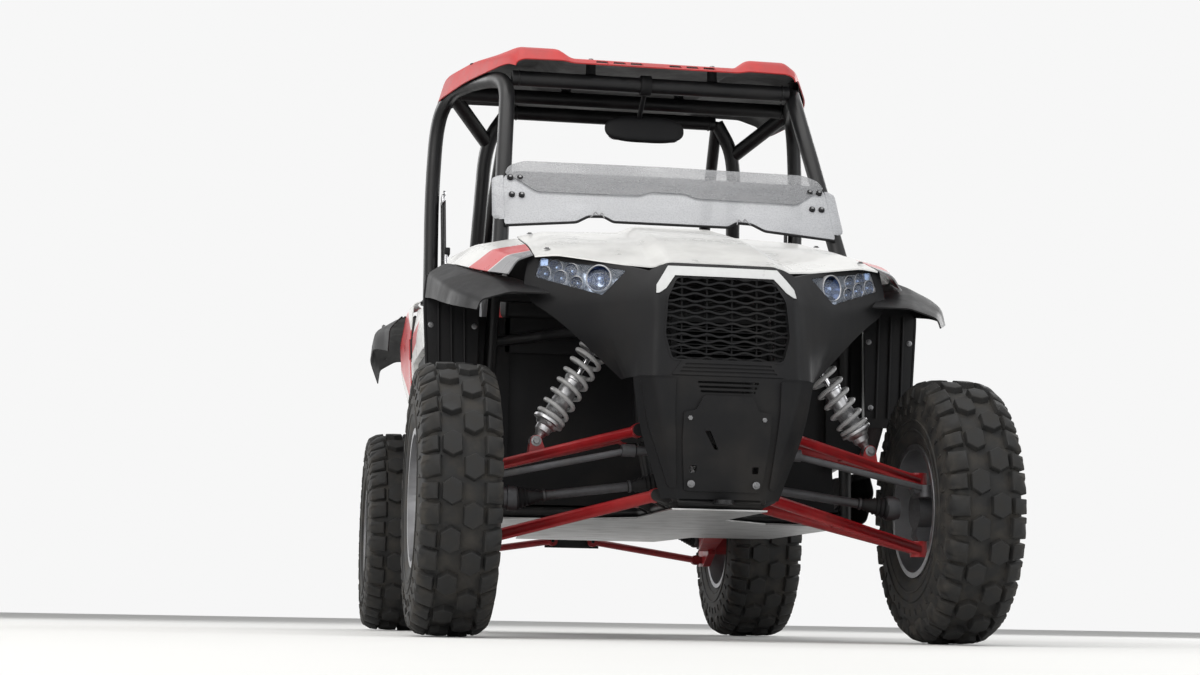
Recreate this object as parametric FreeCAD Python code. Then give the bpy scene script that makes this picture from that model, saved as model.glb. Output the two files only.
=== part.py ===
"""Two-seat side by side off-road buggy with a roll cage, half windshield, half doors and a small cargo box.

Row frame in millimetres: +Z up, the front of the vehicle faces -Y, +X is the driver's side.
The origin is on the ground, midway between the axles and on the centre plane.
"""
import FreeCAD, Part
import math
import os
from FreeCAD import Vector as V

# Driving dimensions of the whole vehicle
wheelbase = 2286.0
overall_width = 1626.0
tyre_diameter = 737.0
front_tyre_width = 229.0
rear_tyre_width = 279.0
rim_diameter = 356.0
ground_clearance = 343.0
seat_gap = 0.3          # gap left between two pieces that seat on each other
pin_gap = 0.3           # radial gap round a pin or shaft

# Places that follow from them
tyre_r = tyre_diameter / 2
rim_r = rim_diameter / 2
front_y = -wheelbase / 2
rear_y = wheelbase / 2
front_x = overall_width / 2 - front_tyre_width / 2
rear_x = overall_width / 2 - rear_tyre_width / 2
axle_z = tyre_r

# Underbody and tube sizes
skid_thick = 5.0
rail_r = 16.0
sill_r = 19.0
cage_r = 25.0
rail_z = ground_clearance + skid_thick + seat_gap + rail_r
sill_z = ground_clearance + skid_thick + seat_gap + sill_r
nose_rail_x = 112.0
mid_rail_x = 240.0
sill_x = 560.0
nose_y = -1330.0
frame_rear_y = 900.0
floor_top_z = sill_z + sill_r + seat_gap + 5.0

# Body sheet thicknesses
panel = 4.0
tub_wall = 5.0
pane = 5.0
bumper_thick = 6.0


# Small building functions
def mirror_x(shape):
    """The same piece on the other side of the centre plane."""
    return shape.mirror(V(0, 0, 0), V(1, 0, 0))


def both(shape):
    """A left piece and its mirrored partner."""
    return [shape, mirror_x(shape)]


def rod(start, end, r):
    """A straight round bar between two points."""
    axis = V(*end) - V(*start)
    return Part.makeCylinder(r, axis.Length, V(*start), axis)


def tube_run(points, r):
    """Round bars through the points, with a ball at each inner corner."""
    pieces = [rod(a, b, r) for a, b in zip(points, points[1:])]
    pieces += [Part.makeSphere(r, V(*p)) for p in points[1:-1]]
    return pieces


def fuse(pieces):
    """One solid from overlapping pieces."""
    if len(pieces) == 1:
        return pieces[0]
    return pieces[0].multiFuse(pieces[1:])


def place(axis, at, u, v):
    """A 3D point from a station along one axis and two coordinates across it."""
    if axis == "x":
        return V(at, u, v)
    if axis == "y":
        return V(u, at, v)
    return V(u, v, at)


def prism(axis, start, end, outline):
    """A straight prism: the outline is closed, in the two coordinates across the axis."""
    points = [place(axis, start, u, v) for u, v in outline]
    wire = Part.makePolygon(points + points[:1])
    return Part.Face(wire).extrude(place(axis, end - start, 0, 0))


def block(x0, x1, y0, y1, z0, z1):
    return Part.makeBox(x1 - x0, y1 - y0, z1 - z0, V(x0, y0, z0))


def offset_line(points, distance):
    """An open line moved sideways by the distance, to the right of its direction, with mitred corners."""
    normals = []
    for (u0, v0), (u1, v1) in zip(points, points[1:]):
        length = math.hypot(u1 - u0, v1 - v0)
        normals.append(((v1 - v0) / length, -(u1 - u0) / length))
    moved = []
    for i, (u, v) in enumerate(points):
        before = normals[max(i - 1, 0)]
        after = normals[min(i, len(normals) - 1)]
        share = 1 + before[0] * after[0] + before[1] * after[1]
        moved.append((u + distance * (before[0] + after[0]) / share,
                      v + distance * (before[1] + after[1]) / share))
    return moved


def full_width(half):
    """A line from the right side to the left side, from its half that starts at the centre plane."""
    centre_on_plane = half[0][0] == 0
    mirrored = [(-u, v) for u, v in reversed(half[1:] if centre_on_plane else half)]
    return mirrored + list(half)


def sheet_loft(axis, stations, thick):
    """A sheet of even thickness through lines at stations along an axis. Thick is to the right of each line."""
    wires = []
    for at, line in stations:
        outline = list(line) + list(reversed(offset_line(line, thick)))
        points = [place(axis, at, u, v) for u, v in outline]
        wires.append(Part.makePolygon(points + points[:1]))
    return Part.makeLoft(wires, True, True)


def beyond_loft(axis, stations, start, far):
    """The room on the right of a lofted sheet, from a start distance off its line to a far one."""
    wires = []
    for at, line in stations:
        outline = offset_line(line, start) + list(reversed(offset_line(line, far)))
        points = [place(axis, at, u, v) for u, v in outline]
        wires.append(Part.makePolygon(points + points[:1]))
    return Part.makeLoft(wires, True, True)


def section_loft(axis, stations):
    """A solid through closed outlines with the same number of corners."""
    wires = []
    for at, outline in stations:
        points = [place(axis, at, u, v) for u, v in outline]
        wires.append(Part.makePolygon(points + points[:1]))
    return Part.makeLoft(wires, True, True)


def lug(centre, across, along, thick, hole_r, tail):
    """A flat ear across the Y axis: a round end about the centre and a tail point it is welded at."""
    x, y, z = centre
    disc = Part.makeCylinder(across, thick, V(x, y - thick / 2, z), V(0, 1, 0))
    direction = V(tail[0] - x, 0, tail[1] - z)
    direction.normalize()
    side = V(-direction.z, 0, direction.x)
    corners = []
    for sign_side, sign_end in ((1, 0), (1, 1), (-1, 1), (-1, 0)):
        end = V(tail[0], 0, tail[1]) if sign_end else V(x, 0, z)
        width = along if sign_end else across
        point = end + side * (sign_side * width)
        corners.append(V(point.x, y - thick / 2, point.z))
    arm = Part.Face(Part.makePolygon(corners + corners[:1])).extrude(V(0, thick, 0))
    ear = disc.fuse(arm)
    if hole_r:
        ear = ear.cut(Part.makeCylinder(hole_r, thick + 2, V(x, y - thick / 2 - 1, z), V(0, 1, 0)))
    return ear


# Wheels
tread_facets = 36
rim_wall = 7.0
rim_width_share = 0.80
disc_thick = 12.0
disc_offset = 34.0
hub_r = 44.0
hub_bore_r = 24.0
stud_circle = 156.0
window_count = 8


def tyre(width):
    """The tyre as a faceted ring about the X axis, out to the tips of its lugs."""
    half = width / 2
    bead = rim_r + seat_gap
    seat = half * rim_width_share - seat_gap
    right = [(seat, bead), (seat, rim_r + 13), (half - 6, rim_r + 36), (half, rim_r + 95),
             (half - 8, tyre_r - 32), (half - 26, tyre_r - 6), (half * 0.45, tyre_r)]
    profile = right + [(-x, r) for x, r in reversed(right)]
    # corners lie outside the true radius so that a flat facet, half a step round, stands on the ground
    grow = 1 / math.cos(math.pi / tread_facets)
    rings = []
    for k in range(tread_facets):
        angle = 2 * math.pi * (k + 0.5) / tread_facets
        rings.append([V(x, r * grow * math.cos(angle), r * grow * math.sin(angle)) for x, r in profile])
    faces = []
    for k in range(tread_facets):
        here, there = rings[k], rings[(k + 1) % tread_facets]
        for i in range(len(profile)):
            j = (i + 1) % len(profile)
            corners = [here[i], here[j], there[j], there[i]]
            faces.append(Part.Face(Part.makePolygon(corners + corners[:1])))
    ring = Part.Solid(Part.Shell(faces))
    if ring.Volume < 0:
        ring.reverse()
    bore = Part.makeCylinder(bead, width, V(-half, 0, 0), V(1, 0, 0))
    return ring.cut(bore)


def rim(width):
    """A cast wheel about the X axis with its face towards +X: barrel, flanges, windowed disc and hub."""
    half = width / 2 * rim_width_share
    flange = 9.0
    barrel = [(-half, rim_r - rim_wall), (-half, rim_r), (half, rim_r), (half, rim_r - rim_wall)]
    ring = Part.Face(Part.makePolygon([V(x, 0, r) for x, r in barrel + barrel[:1]])).revolve(
        V(0, 0, 0), V(1, 0, 0), 360)
    pieces = [ring]
    for side in (-1, 1):
        start = side * (half + flange / 2) - flange / 2
        lip = Part.makeCylinder(rim_r + 9, flange, V(start, 0, 0), V(1, 0, 0))
        pieces.append(lip.cut(Part.makeCylinder(rim_r - rim_wall, flange, V(start, 0, 0), V(1, 0, 0))))
    disc = Part.makeCylinder(rim_r - rim_wall + 1, disc_thick, V(disc_offset, 0, 0), V(1, 0, 0))
    inner, outer = hub_r + 48, rim_r - rim_wall - 12
    for k in range(window_count):
        angle = 2 * math.pi * k / window_count
        spread_in, spread_out = math.radians(9), math.radians(15)
        corners = []
        for r, a in ((inner, -spread_in), (outer, -spread_out), (outer, spread_out), (inner, spread_in)):
            corners.append(V(disc_offset - 1, r * math.cos(angle + a), r * math.sin(angle + a)))
        window = Part.Face(Part.makePolygon(corners + corners[:1])).extrude(V(disc_thick + 2, 0, 0))
        disc = disc.cut(window)
    pieces.append(disc)
    pieces.append(Part.makeCylinder(hub_r, 46, V(disc_offset - 30, 0, 0), V(1, 0, 0)))
    whole = fuse(pieces)
    return whole.cut(Part.makeCylinder(hub_bore_r, 80, V(disc_offset - 60, 0, 0), V(1, 0, 0)))


def set_wheel(shape, x, y):
    """A wheel built about the X axis, moved to its hub. On the right side it is mirrored."""
    if x < 0:
        shape = mirror_x(shape)
    moved = shape.copy()
    moved.translate(V(x, y, axle_z))
    return moved


# Front suspension
king_x = 615.0
ball_low_z = 262.0
ball_high_z = 452.0
ball_r = 24.0
ball_height = 44.0
low_in = (156.0, 385.0)          # x, z of the lower arm's inner pivots
high_in = (205.0, 560.0)
low_pivot_y = (front_y - 110, front_y + 150)
high_pivot_y = (front_y - 95, front_y + 125)
low_arm_r = 16.0
high_arm_r = 14.0
sleeve_r = 19.0
sleeve_len = 46.0
pivot_pin_r = 7.0
ear_thick = 6.0
spindle_r = hub_bore_r - pin_gap
tie_y = front_y - 100
tie_out_x = 605.0
tie_out_z = 424.0
rack_z = 505.0
rack_r = 12.0
tie_r = 9.0
rack_half = 150.0
rack_reach = 78.0
eye_r = 16.0
eye_half = 10.0
shock_low = (470.0, front_y, 530.0)
shock_high = (262.0, front_y + 13, 868.0)
shock_eye_r = 17.0
shock_eye_half = 16.0
shock_pin_r = 6.0


def control_arm(inner, pivot_ys, outer_z, r, gusset_x):
    """A tubular A-arm: sleeves on its inner pivots, two legs, a gusset plate and the ball joint's cup."""
    x_in, z_in = inner
    cup_z = outer_z - ball_height / 2
    pieces = [Part.makeCylinder(ball_r, ball_height, V(king_x, front_y, cup_z))]
    for y in pivot_ys:
        start = V(x_in, y - sleeve_len / 2, z_in)
        pieces.append(Part.makeCylinder(sleeve_r, sleeve_len, start, V(0, 1, 0)))
        lean = 12 if y > front_y else -12
        pieces.append(rod((x_in, y, z_in), (king_x - 4, front_y + lean, outer_z), r))
    share = (king_x - gusset_x) / (king_x - x_in)
    corners = []
    for y, lean in ((pivot_ys[0], -12), (pivot_ys[1], 12)):
        reach = front_y + lean + (y - front_y - lean) * share
        corners.append((gusset_x, reach, outer_z + (z_in - outer_z) * share))
    corners += [(king_x - 8, front_y + 12, outer_z), (king_x - 8, front_y - 12, outer_z)]
    face = Part.Face(Part.makePolygon([V(*c) for c in corners + corners[:1]]))
    normal = face.normalAt(0, 0)
    plate = face.extrude(normal * 5)
    pieces.append(plate)
    arm = fuse(pieces)
    for y in pivot_ys:
        start = V(x_in, y - sleeve_len, z_in)
        arm = arm.cut(Part.makeCylinder(pivot_pin_r + pin_gap, sleeve_len * 2, start, V(0, 1, 0)))
    return arm


def upper_arm():
    """The upper A-arm with the two ears that hold the shock's lower eye."""
    arm = control_arm(high_in, high_pivot_y, ball_high_z, high_arm_r, 400.0)
    x, y, z = shock_low
    ears = []
    for side in (-1, 1):
        centre = (x, y + side * (shock_eye_half + seat_gap + ear_thick / 2), z)
        ears.append(lug(centre, 16, 26, ear_thick, 0, (x - 4, ball_high_z + 38)))
    pin_half = shock_eye_half + seat_gap + ear_thick
    ears.append(Part.makeCylinder(shock_pin_r, pin_half * 2, V(x, y - pin_half, z), V(0, 1, 0)))
    pin_hole = Part.makeCylinder(8 + pin_gap, 80, V(king_x, front_y, ball_high_z - 60))
    return fuse([arm] + ears).cut(pin_hole)


def lower_arm():
    arm = control_arm(low_in, low_pivot_y, ball_low_z, low_arm_r, 380.0)
    return arm.cut(Part.makeCylinder(8 + pin_gap, 80, V(king_x, front_y, ball_low_z - 20)))


def knuckle():
    """The upright between the ball joints, its spindle and its steering arm. It turns about the kingpin line."""
    low = ball_low_z + ball_height / 2 + seat_gap
    high = ball_high_z - ball_height / 2 - seat_gap
    outline = [(king_x - 14, low + 14), (king_x - 8, low), (king_x + 22, low), (king_x + 30, axle_z - 40),
               (king_x + 30, axle_z + 34), (king_x + 20, high), (king_x - 22, high),
               (king_x - 8, axle_z + 30), (king_x - 8, axle_z - 30)]
    post = prism("y", front_y - 24, front_y + 24, outline)
    disc = Part.makeCylinder(52, 40, V(king_x - 12, front_y, axle_z), V(1, 0, 0))
    spindle_end = front_x + disc_offset + disc_thick
    spindle = rod((king_x, front_y, axle_z), (spindle_end, front_y, axle_z), spindle_r)
    top = tie_out_z - eye_half - seat_gap
    arm_outline = [(king_x - 20, front_y - 10), (king_x + 16, front_y - 10),
                   (tie_out_x + 20, tie_y), (tie_out_x - 20, tie_y)]
    arm = prism("z", top - 12, top, arm_outline)
    eye = Part.makeCylinder(20, 12, V(tie_out_x, tie_y, top - 12))
    pins = [Part.makeCylinder(8, 20, V(king_x, front_y, low - 18)),
            Part.makeCylinder(8, 20, V(king_x, front_y, high - 2))]
    return fuse([post, disc, spindle, arm, eye] + pins)


def tie_rods():
    """The rack bar with a tie rod at each end. The rods' eyes sit on the knuckles' steering arms."""
    reach = rack_half + rack_reach
    pieces = [rod((-reach, tie_y, rack_z), (reach, tie_y, rack_z), rack_r)]
    for side in (-1, 1):
        start = (side * reach, tie_y, rack_z)
        end = (side * tie_out_x, tie_y, tie_out_z)
        boot = rod((side * (reach - 16), tie_y, rack_z), (side * (reach + 20), tie_y, rack_z), rack_r + 5)
        pieces += [rod(start, end, tie_r), boot]
        pieces.append(Part.makeCylinder(eye_r, eye_half * 2, V(side * tie_out_x, tie_y, tie_out_z - eye_half)))
    return fuse(pieces)


# Shock absorbers and springs
spring_r = 39.0
wire_r = 6.0


def along(start, end, distance):
    """The point a distance along the way from start to end."""
    direction = V(*end) - V(*start)
    direction.normalize()
    return V(*start) + direction * distance


def shock(low, high, eye_axis, body_len, low_seat, high_seat):
    """A coil-over damper: eye, cast foot, spring seats, body, shaft and top eye, about the line of its eyes."""
    half = shock_eye_half
    axis = V(*high) - V(*low)
    length = axis.Length
    direction = V(*axis).normalize()
    pieces = []
    for eye in (low, high):
        pieces.append(Part.makeCylinder(shock_eye_r, half * 2, V(*eye) - eye_axis * half, eye_axis))
    steps = [(0, 30, 13.0), (30, low_seat, 19.0), (low_seat, low_seat + 10, spring_r + 4),
             (low_seat + 10, body_len, 27.0), (body_len, length - high_seat - 8, 9.0),
             (length - high_seat - 8, length - high_seat, spring_r + 4),
             (length - high_seat, length, 13.0)]
    for start, end, r in steps:
        point = V(*low) + direction * start
        pieces.append(Part.makeCylinder(r, end - start, point, direction))
    whole = fuse(pieces)
    for eye in (low, high):
        whole = whole.cut(Part.makeCylinder(shock_pin_r + pin_gap, half * 4,
                                            V(*eye) - eye_axis * half * 2, eye_axis))
    return whole


def shock_fork(eye, reach):
    """Two ears across the X axis and their pin. They reach from the eye up or down to what carries them."""
    x, y, z = eye
    pieces = []
    for side in (-1, 1):
        near = x + side * (shock_eye_half + seat_gap + ear_thick / 2) - ear_thick / 2
        pieces.append(Part.makeCylinder(17, ear_thick, V(near, y, z), V(1, 0, 0)))
        pieces.append(prism("x", near, near + ear_thick,
                            [(y - 17, z), (y + 17, z), (y + 24, z + reach), (y - 24, z + reach)]))
    pin_half = shock_eye_half + seat_gap + ear_thick
    pieces.append(Part.makeCylinder(shock_pin_r, pin_half * 2, V(x - pin_half, y, z), V(1, 0, 0)))
    return pieces


def coil(low, high, low_seat, high_seat, turns):
    """A coil spring of half-round arcs, each tilted to climb half a pitch, swept with a round wire."""
    axis = V(*high) - V(*low)
    direction = V(*axis).normalize()
    start = V(*low) + direction * (low_seat + wire_r + seat_gap)
    height = axis.Length - low_seat - high_seat - 2 * (wire_r + seat_gap)
    side = direction.cross(V(0, 1, 0)).normalize()
    across = direction.cross(side).normalize()
    step = height / (2 * turns)
    edges = []
    for k in range(2 * turns):
        sign = 1 if k % 2 == 0 else -1
        first = start + direction * (k * step) + side * (sign * spring_r)
        last = start + direction * ((k + 1) * step) - side * (sign * spring_r)
        bulge = math.hypot(spring_r, step / 2)
        middle = (first + last) * 0.5 + across * (sign * bulge)
        edges.append(Part.Arc(first, middle, last).toShape())
    path = Part.Wire(edges)
    section = Part.Wire(Part.Circle(start + side * spring_r, across, wire_r).toShape())
    return path.makePipeShell([section], True, False)


front_low_seat, front_high_seat = 62.0, 34.0
front_shock_body = 210.0
rear_shock_low = (488.0, 860.0, 466.0)
rear_shock_high = (532.0, 665.0, 975.0)
rear_low_seat, rear_high_seat = 70.0, 40.0
rear_shock_body = 300.0

# Rear suspension
trail_pivot = (425.0, 520.0, 430.0)
trail_r = 30.0
trail_sleeve_half = 45.0
carrier_x = (500.0, 528.0)
rod_r = 13.0
rod_inner = [(78.0, 1215.0, 470.0), (78.0, 1215.0, 350.0)]
rod_eye_r = rod_r + 6
rod_outer_x = carrier_x[0] - rod_eye_r - seat_gap
rod_outer = [(rod_outer_x, 1190.0, 452.0), (rod_outer_x, 1190.0, 288.0)]


def trailing_arm():
    """A boxed trailing arm: pivot sleeve, tapering beam, shock ears, hub carrier plate and rear spindle."""
    x, y, z = trail_pivot
    sleeve = Part.makeCylinder(trail_r, trail_sleeve_half * 2, V(x - trail_sleeve_half, y, z), V(1, 0, 0))
    beam = section_loft("y", [
        (y, [(x - 34, z - 26), (x + 34, z - 26), (x + 34, z + 26), (x - 34, z + 26)]),
        (y + 300, [(x + 10, z - 62), (x + 88, z - 62), (x + 88, z + 2), (x + 10, z + 2)]),
        (rear_y - 60, [(carrier_x[0] - 30, axle_z - 50), (carrier_x[1], axle_z - 50),
                       (carrier_x[1], axle_z + 55), (carrier_x[0] - 30, axle_z + 55)]),
    ])
    outline = [(rear_y - 90, axle_z - 60), (rear_y, axle_z - 105), (rear_y + 80, axle_z - 105),
               (rear_y + 80, axle_z + 110), (rear_y, axle_z + 110), (rear_y - 90, axle_z + 60)]
    plate = prism("x", carrier_x[0], carrier_x[1], outline)
    bearing = rod((carrier_x[0], rear_y, axle_z), (rear_x - 20, rear_y, axle_z), 58)
    spindle = rod((carrier_x[0], rear_y, axle_z), (rear_x + disc_offset + disc_thick, rear_y, axle_z),
                  spindle_r)
    pieces = [sleeve, beam, plate, bearing, spindle] + shock_fork(rear_shock_low, -60)
    for rx, ry, rz in rod_outer:
        for side in (-1, 1):
            centre = (rx, ry + side * (15 + seat_gap + ear_thick / 2), rz)
            pieces.append(lug(centre, 13, 13, ear_thick, 0, (carrier_x[0] + 4, rz)))
        pin_half = 15 + seat_gap + ear_thick
        pieces.append(Part.makeCylinder(6, pin_half * 2, V(rx, ry - pin_half, rz), V(0, 1, 0)))
    whole = fuse(pieces)
    bore = Part.makeCylinder(12 + pin_gap, 200, V(x - 100, y, z), V(1, 0, 0))
    return whole.cut(bore)


def radius_rods():
    """Two bars from the carrier plate to the centre plate at the back of the frame, an eye at each end."""
    rods = []
    for inner, outer in zip(rod_inner, rod_outer):
        pieces = [rod(inner, outer, rod_r)]
        for x, y, z in (inner, outer):
            pieces.append(Part.makeCylinder(rod_eye_r, 30, V(x, y - 15, z), V(0, 1, 0)))
        bar = fuse(pieces)
        for x, y, z in (inner, outer):
            bar = bar.cut(Part.makeCylinder(6 + pin_gap, 40, V(x, y - 20, z), V(0, 1, 0)))
        rods.append(bar)
    return rods


def drive_shaft(inner, outer, joint_r):
    """A half shaft: at each end a cup along the X axis with a tapered boot that follows the shaft."""
    cup = joint_r
    start = V(*inner) + V(cup, 0, 0)
    end = V(*outer) - V(cup, 0, 0)
    direction = (end - start).normalize()
    pieces = [Part.makeCylinder(13, (end - start).Length, start, direction)]
    for base, mouth, toward in ((V(*inner), start, direction), (V(*outer) - V(cup, 0, 0), end, direction * -1)):
        pieces.append(Part.makeCylinder(joint_r, cup, base, V(1, 0, 0)))
        pieces.append(Part.makeSphere(joint_r * 0.97, mouth))
        pieces.append(Part.makeCone(joint_r * 0.9, joint_r * 0.5, 72, mouth, toward))
    return fuse(pieces)


# Frame
dash_beam = (-664.0, 1000.0)     # y, z of the cross tube behind the dash
hitch = (0.0, 1268.0, 400.0)
hitch_bore_r = 9.5
tongue_thick = 8.0
tow_eye = (0.0, -1396.0, 364.0)
tow_eye_thick = 10.0
tow_eye_r = 26.0
tow_bore_r = 12.5
shock_tower_z = 884.0
bulkhead_ys = (front_y - 112, front_y + 142)
bed_rail = [(445.0, 590.0, 885.0), (435.0, 1265.0, 885.0)]
a_post = [(sill_x, -600.0, sill_z), (535.0, -672.0, 1078.0)]
b_post = [(sill_x, 392.0, sill_z), (645.0, 352.0, 1123.0)]
hinge_x = 690.0
hinge_y = 318.0
hinge_zs = (640.0, 960.0)
hinge_pin_r = 5.0
foot_r = 33.0
foot_thick = 6.0
nose_joint_y = -712.0            # where the chassis sections meet
rear_joint_y = 450.0
rear_levels = [400.2, 600.0, 866.0, 902.0]   # heights of the joints in the rear of the chassis


def clevis(pivot_x, pivot_z, y, tail, pin_r):
    """Two ears and a pin that hold a sleeve on the Y axis."""
    reach = sleeve_len / 2 + seat_gap
    pieces = []
    for side in (-1, 1):
        centre = (pivot_x, y + side * (reach + ear_thick / 2), pivot_z)
        pieces.append(lug(centre, sleeve_r - 2, sleeve_r - 2, ear_thick, 0, tail))
    length = 2 * (reach + ear_thick)
    pieces.append(Part.makeCylinder(pin_r, length, V(pivot_x, y - length / 2, pivot_z), V(0, 1, 0)))
    return pieces


def frame():
    """The welded tube chassis with the suspension's brackets and pins."""
    left = []
    nose = (nose_rail_x, nose_y, rail_z)
    left += tube_run([nose, (nose_rail_x, -800, rail_z), (mid_rail_x, -640, rail_z),
                      (mid_rail_x, frame_rear_y, rail_z), (mid_rail_x - 60, 1130, 560)], rail_r)
    left += tube_run([nose, (150, nose_y + 20, 700), (150, -1215, shock_tower_z)], rail_r)
    left.append(rod((150, bulkhead_ys[0] - 20, high_in[1]), (150, bulkhead_ys[1] + 40, high_in[1]), rail_r))
    for y in bulkhead_ys:
        left.append(rod((nose_rail_x, y, rail_z), (150, y, high_in[1]), rail_r))
    left += tube_run([(150, bulkhead_ys[1], high_in[1]), (170, -1010, shock_tower_z),
                      (400, -680, shock_tower_z)], rail_r)
    left.append(rod((150, -1215, shock_tower_z), (170, -1010, shock_tower_z), rail_r))
    left.append(rod((mid_rail_x, -640, rail_z), (sill_x, -600, sill_z), rail_r))
    left.append(rod((sill_x, -600, sill_z), (sill_x, 400, sill_z), sill_r))
    left.append(rod((400, -680, shock_tower_z), (547, -640, shock_tower_z - 20), rail_r))
    for post in (a_post, b_post):
        x, y, z = post[1]
        trim = V(*post[1]) - (V(*post[1]) - V(*post[0])).normalize() * 3
        left.append(rod(post[0], tuple(trim), sill_r))
        left.append(Part.makeCylinder(foot_r, foot_thick, V(x, y, z - foot_thick)))
    left += [Part.makeSphere(sill_r, V(sill_x, -600, sill_z)), Part.makeSphere(sill_r, V(sill_x, 392, sill_z))]
    left += tube_run([(mid_rail_x, 500, rail_z), (300, 500, 620), bed_rail[0]], rail_r)
    left.append(rod(bed_rail[0], bed_rail[1], rail_r))
    left.append(rod((mid_rail_x - 60, 1130, 560), bed_rail[1], rail_r))
    for pivot, ys in ((low_in, low_pivot_y), (high_in, high_pivot_y)):
        tail_x = nose_rail_x if pivot is low_in else 150
        tail_z = rail_z if pivot is low_in else high_in[1]
        for y in ys:
            left += clevis(pivot[0], pivot[1], y, (tail_x, tail_z), pivot_pin_r)
    x, y, z = shock_high
    for side in (-1, 1):
        centre = (x, y + side * (shock_eye_half + seat_gap + ear_thick / 2), z)
        left.append(lug(centre, 16, 20, ear_thick, 0, (158, shock_tower_z)))
    half = shock_eye_half + seat_gap + ear_thick
    left.append(Part.makeCylinder(shock_pin_r, 2 * half, V(x, y - half, z), V(0, 1, 0)))
    # rear shock mount on the bed rail
    x, y, z = rear_shock_high
    left += shock_fork(rear_shock_high, 24)
    left.append(block(436, x + 24, y - 24, y + 24, z + 20, z + 26))
    left.append(rod((446, y, bed_rail[0][2]), (446, y, z + 22), rail_r - 2))
    # trailing arm pivot: two ears on a cross bar and a pin
    x, y, z = trail_pivot
    for at in (x - trail_sleeve_half - seat_gap - ear_thick, x + trail_sleeve_half + seat_gap):
        ear = Part.makeCylinder(24, ear_thick, V(at, y, z), V(1, 0, 0))
        tail = prism("x", at, at + ear_thick, [(y - 58, rail_z - 10), (y - 30, rail_z - 14),
                                               (y + 22, z - 8), (y - 22, z + 12), (y - 58, rail_z + 10)])
        left += [ear, tail]
    left.append(rod((mid_rail_x, y - 52, rail_z), (x + 60, y - 52, rail_z), rail_r - 4))
    pin_half = trail_sleeve_half + seat_gap + ear_thick
    left.append(Part.makeCylinder(12, 2 * pin_half, V(x - pin_half, y, z), V(1, 0, 0)))
    # door hinges: a leaf from the post and a pin through the door's barrel
    for z in hinge_zs:
        share = (z - b_post[0][2]) / (b_post[1][2] - b_post[0][2])
        post_x = b_post[0][0] + (b_post[1][0] - b_post[0][0]) * share
        post_y = b_post[0][1] + (b_post[1][1] - b_post[0][1]) * share
        for at in (z - 30, z + 24):
            outline = [(post_x, post_y - 14), (hinge_x - 8, hinge_y - 8), (hinge_x + 6, hinge_y - 4),
                       (hinge_x + 6, hinge_y + 8), (post_x, post_y + 14)]
            left.append(prism("z", at, at + 6, outline))
        left.append(Part.makeCylinder(hinge_pin_r, 60, V(hinge_x, hinge_y, z - 30)))
    # radius rod pins on the rear centre plate
    for px, py, pz in rod_inner:
        left.append(Part.makeCylinder(6, 46, V(px, py - 23, pz), V(0, 1, 0)))
    pieces = []
    for shape in left:
        pieces += both(shape)
    crosses = [(nose_y, rail_z, nose_rail_x, rail_r), (-640, rail_z, mid_rail_x, rail_r),
               (-100, sill_z, sill_x, sill_r), (392, sill_z, sill_x, sill_r), dash_beam + (538, rail_r),
               (frame_rear_y, rail_z, mid_rail_x, rail_r), (500, rail_z, mid_rail_x, rail_r), (-1215, shock_tower_z, 150, rail_r),
               (-1010, shock_tower_z, 170, rail_r), (1130, 560, mid_rail_x - 60, rail_r),
               (bed_rail[0][1], 885, bed_rail[0][0], rail_r), (bed_rail[1][1], 885, bed_rail[1][0], rail_r)]
    for y, z, half_x, r in crosses:
        pieces.append(rod((-half_x, y, z), (half_x, y, z), r))
    plate_y = rod_inner[0][1]
    pieces.append(prism("y", plate_y + 17, plate_y + 23, [(-105, 325), (105, 325), (105, 500), (60, 560),
                                                          (-60, 560), (-105, 500)]))
    pieces.append(rod((-120, plate_y + 20, 545), (120, plate_y + 20, 545), 12))
    for side in (-1, 1):
        pieces.append(rod((side * 110, plate_y + 20, 545), (side * 180, 1130, 560), 12))
    # hitch tongue behind the rear plate and tow eye at the nose
    tongue = block(-34, 34, plate_y + 20, hitch[1] + 30, hitch[2] - tongue_thick, hitch[2])
    pieces.append(tongue.cut(Part.makeCylinder(hitch_bore_r, 20, V(hitch[0], hitch[1], hitch[2] - 15))))
    eye_y, low, high = tow_eye[1], tow_eye[2] - tow_eye_thick / 2, tow_eye[2] + tow_eye_thick / 2
    eye = Part.makeCylinder(tow_eye_r, tow_eye_thick, V(0, eye_y, low))
    eye = eye.fuse(block(-tow_eye_r + 6, tow_eye_r - 6, eye_y, nose_y, low, high))
    pieces.append(eye.cut(Part.makeCylinder(tow_bore_r, 20, V(0, eye_y, low - 5))))
    # rack housing across the bulkhead
    pieces.append(rod((-rack_half, tie_y, rack_z), (rack_half, tie_y, rack_z), rack_r + 12))
    whole = fuse(pieces)
    whole = whole.cut(rod((-rack_half - 14, tie_y, rack_z), (rack_half + 14, tie_y, rack_z), rack_r + pin_gap))
    return whole


def frame_sections():
    """The chassis in its bolted sections: nose, middle, then the rear's rails, cross bars, uprights, bed and towers."""
    whole = frame()
    rear = rear_joint_y + seat_gap
    rooms = [(-2000, nose_joint_y - seat_gap, 0, 2000), (nose_joint_y, rear_joint_y, 0, 2000)]
    starts = [0] + [z + seat_gap for z in rear_levels]
    rooms += [(rear, 2000, low, high) for low, high in zip(starts, rear_levels + [2000])]
    return [whole.common(block(-900, 900, y0, y1, z0, z1)).Solids for y0, y1, z0, z1 in rooms]


def skid_plate():
    """The flat underbody plate with its turned-up nose."""
    z = ground_clearance
    outline = [(-130, nose_y - 20), (130, nose_y - 20), (130, -830), (300, -650), (575, -610), (575, 400),
               (300, 430), (260, frame_rear_y), (-260, frame_rear_y), (-300, 430), (-575, 400),
               (-575, -610), (-300, -650), (-130, -830)]
    return prism("z", z, z + skid_thick, outline)


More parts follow.
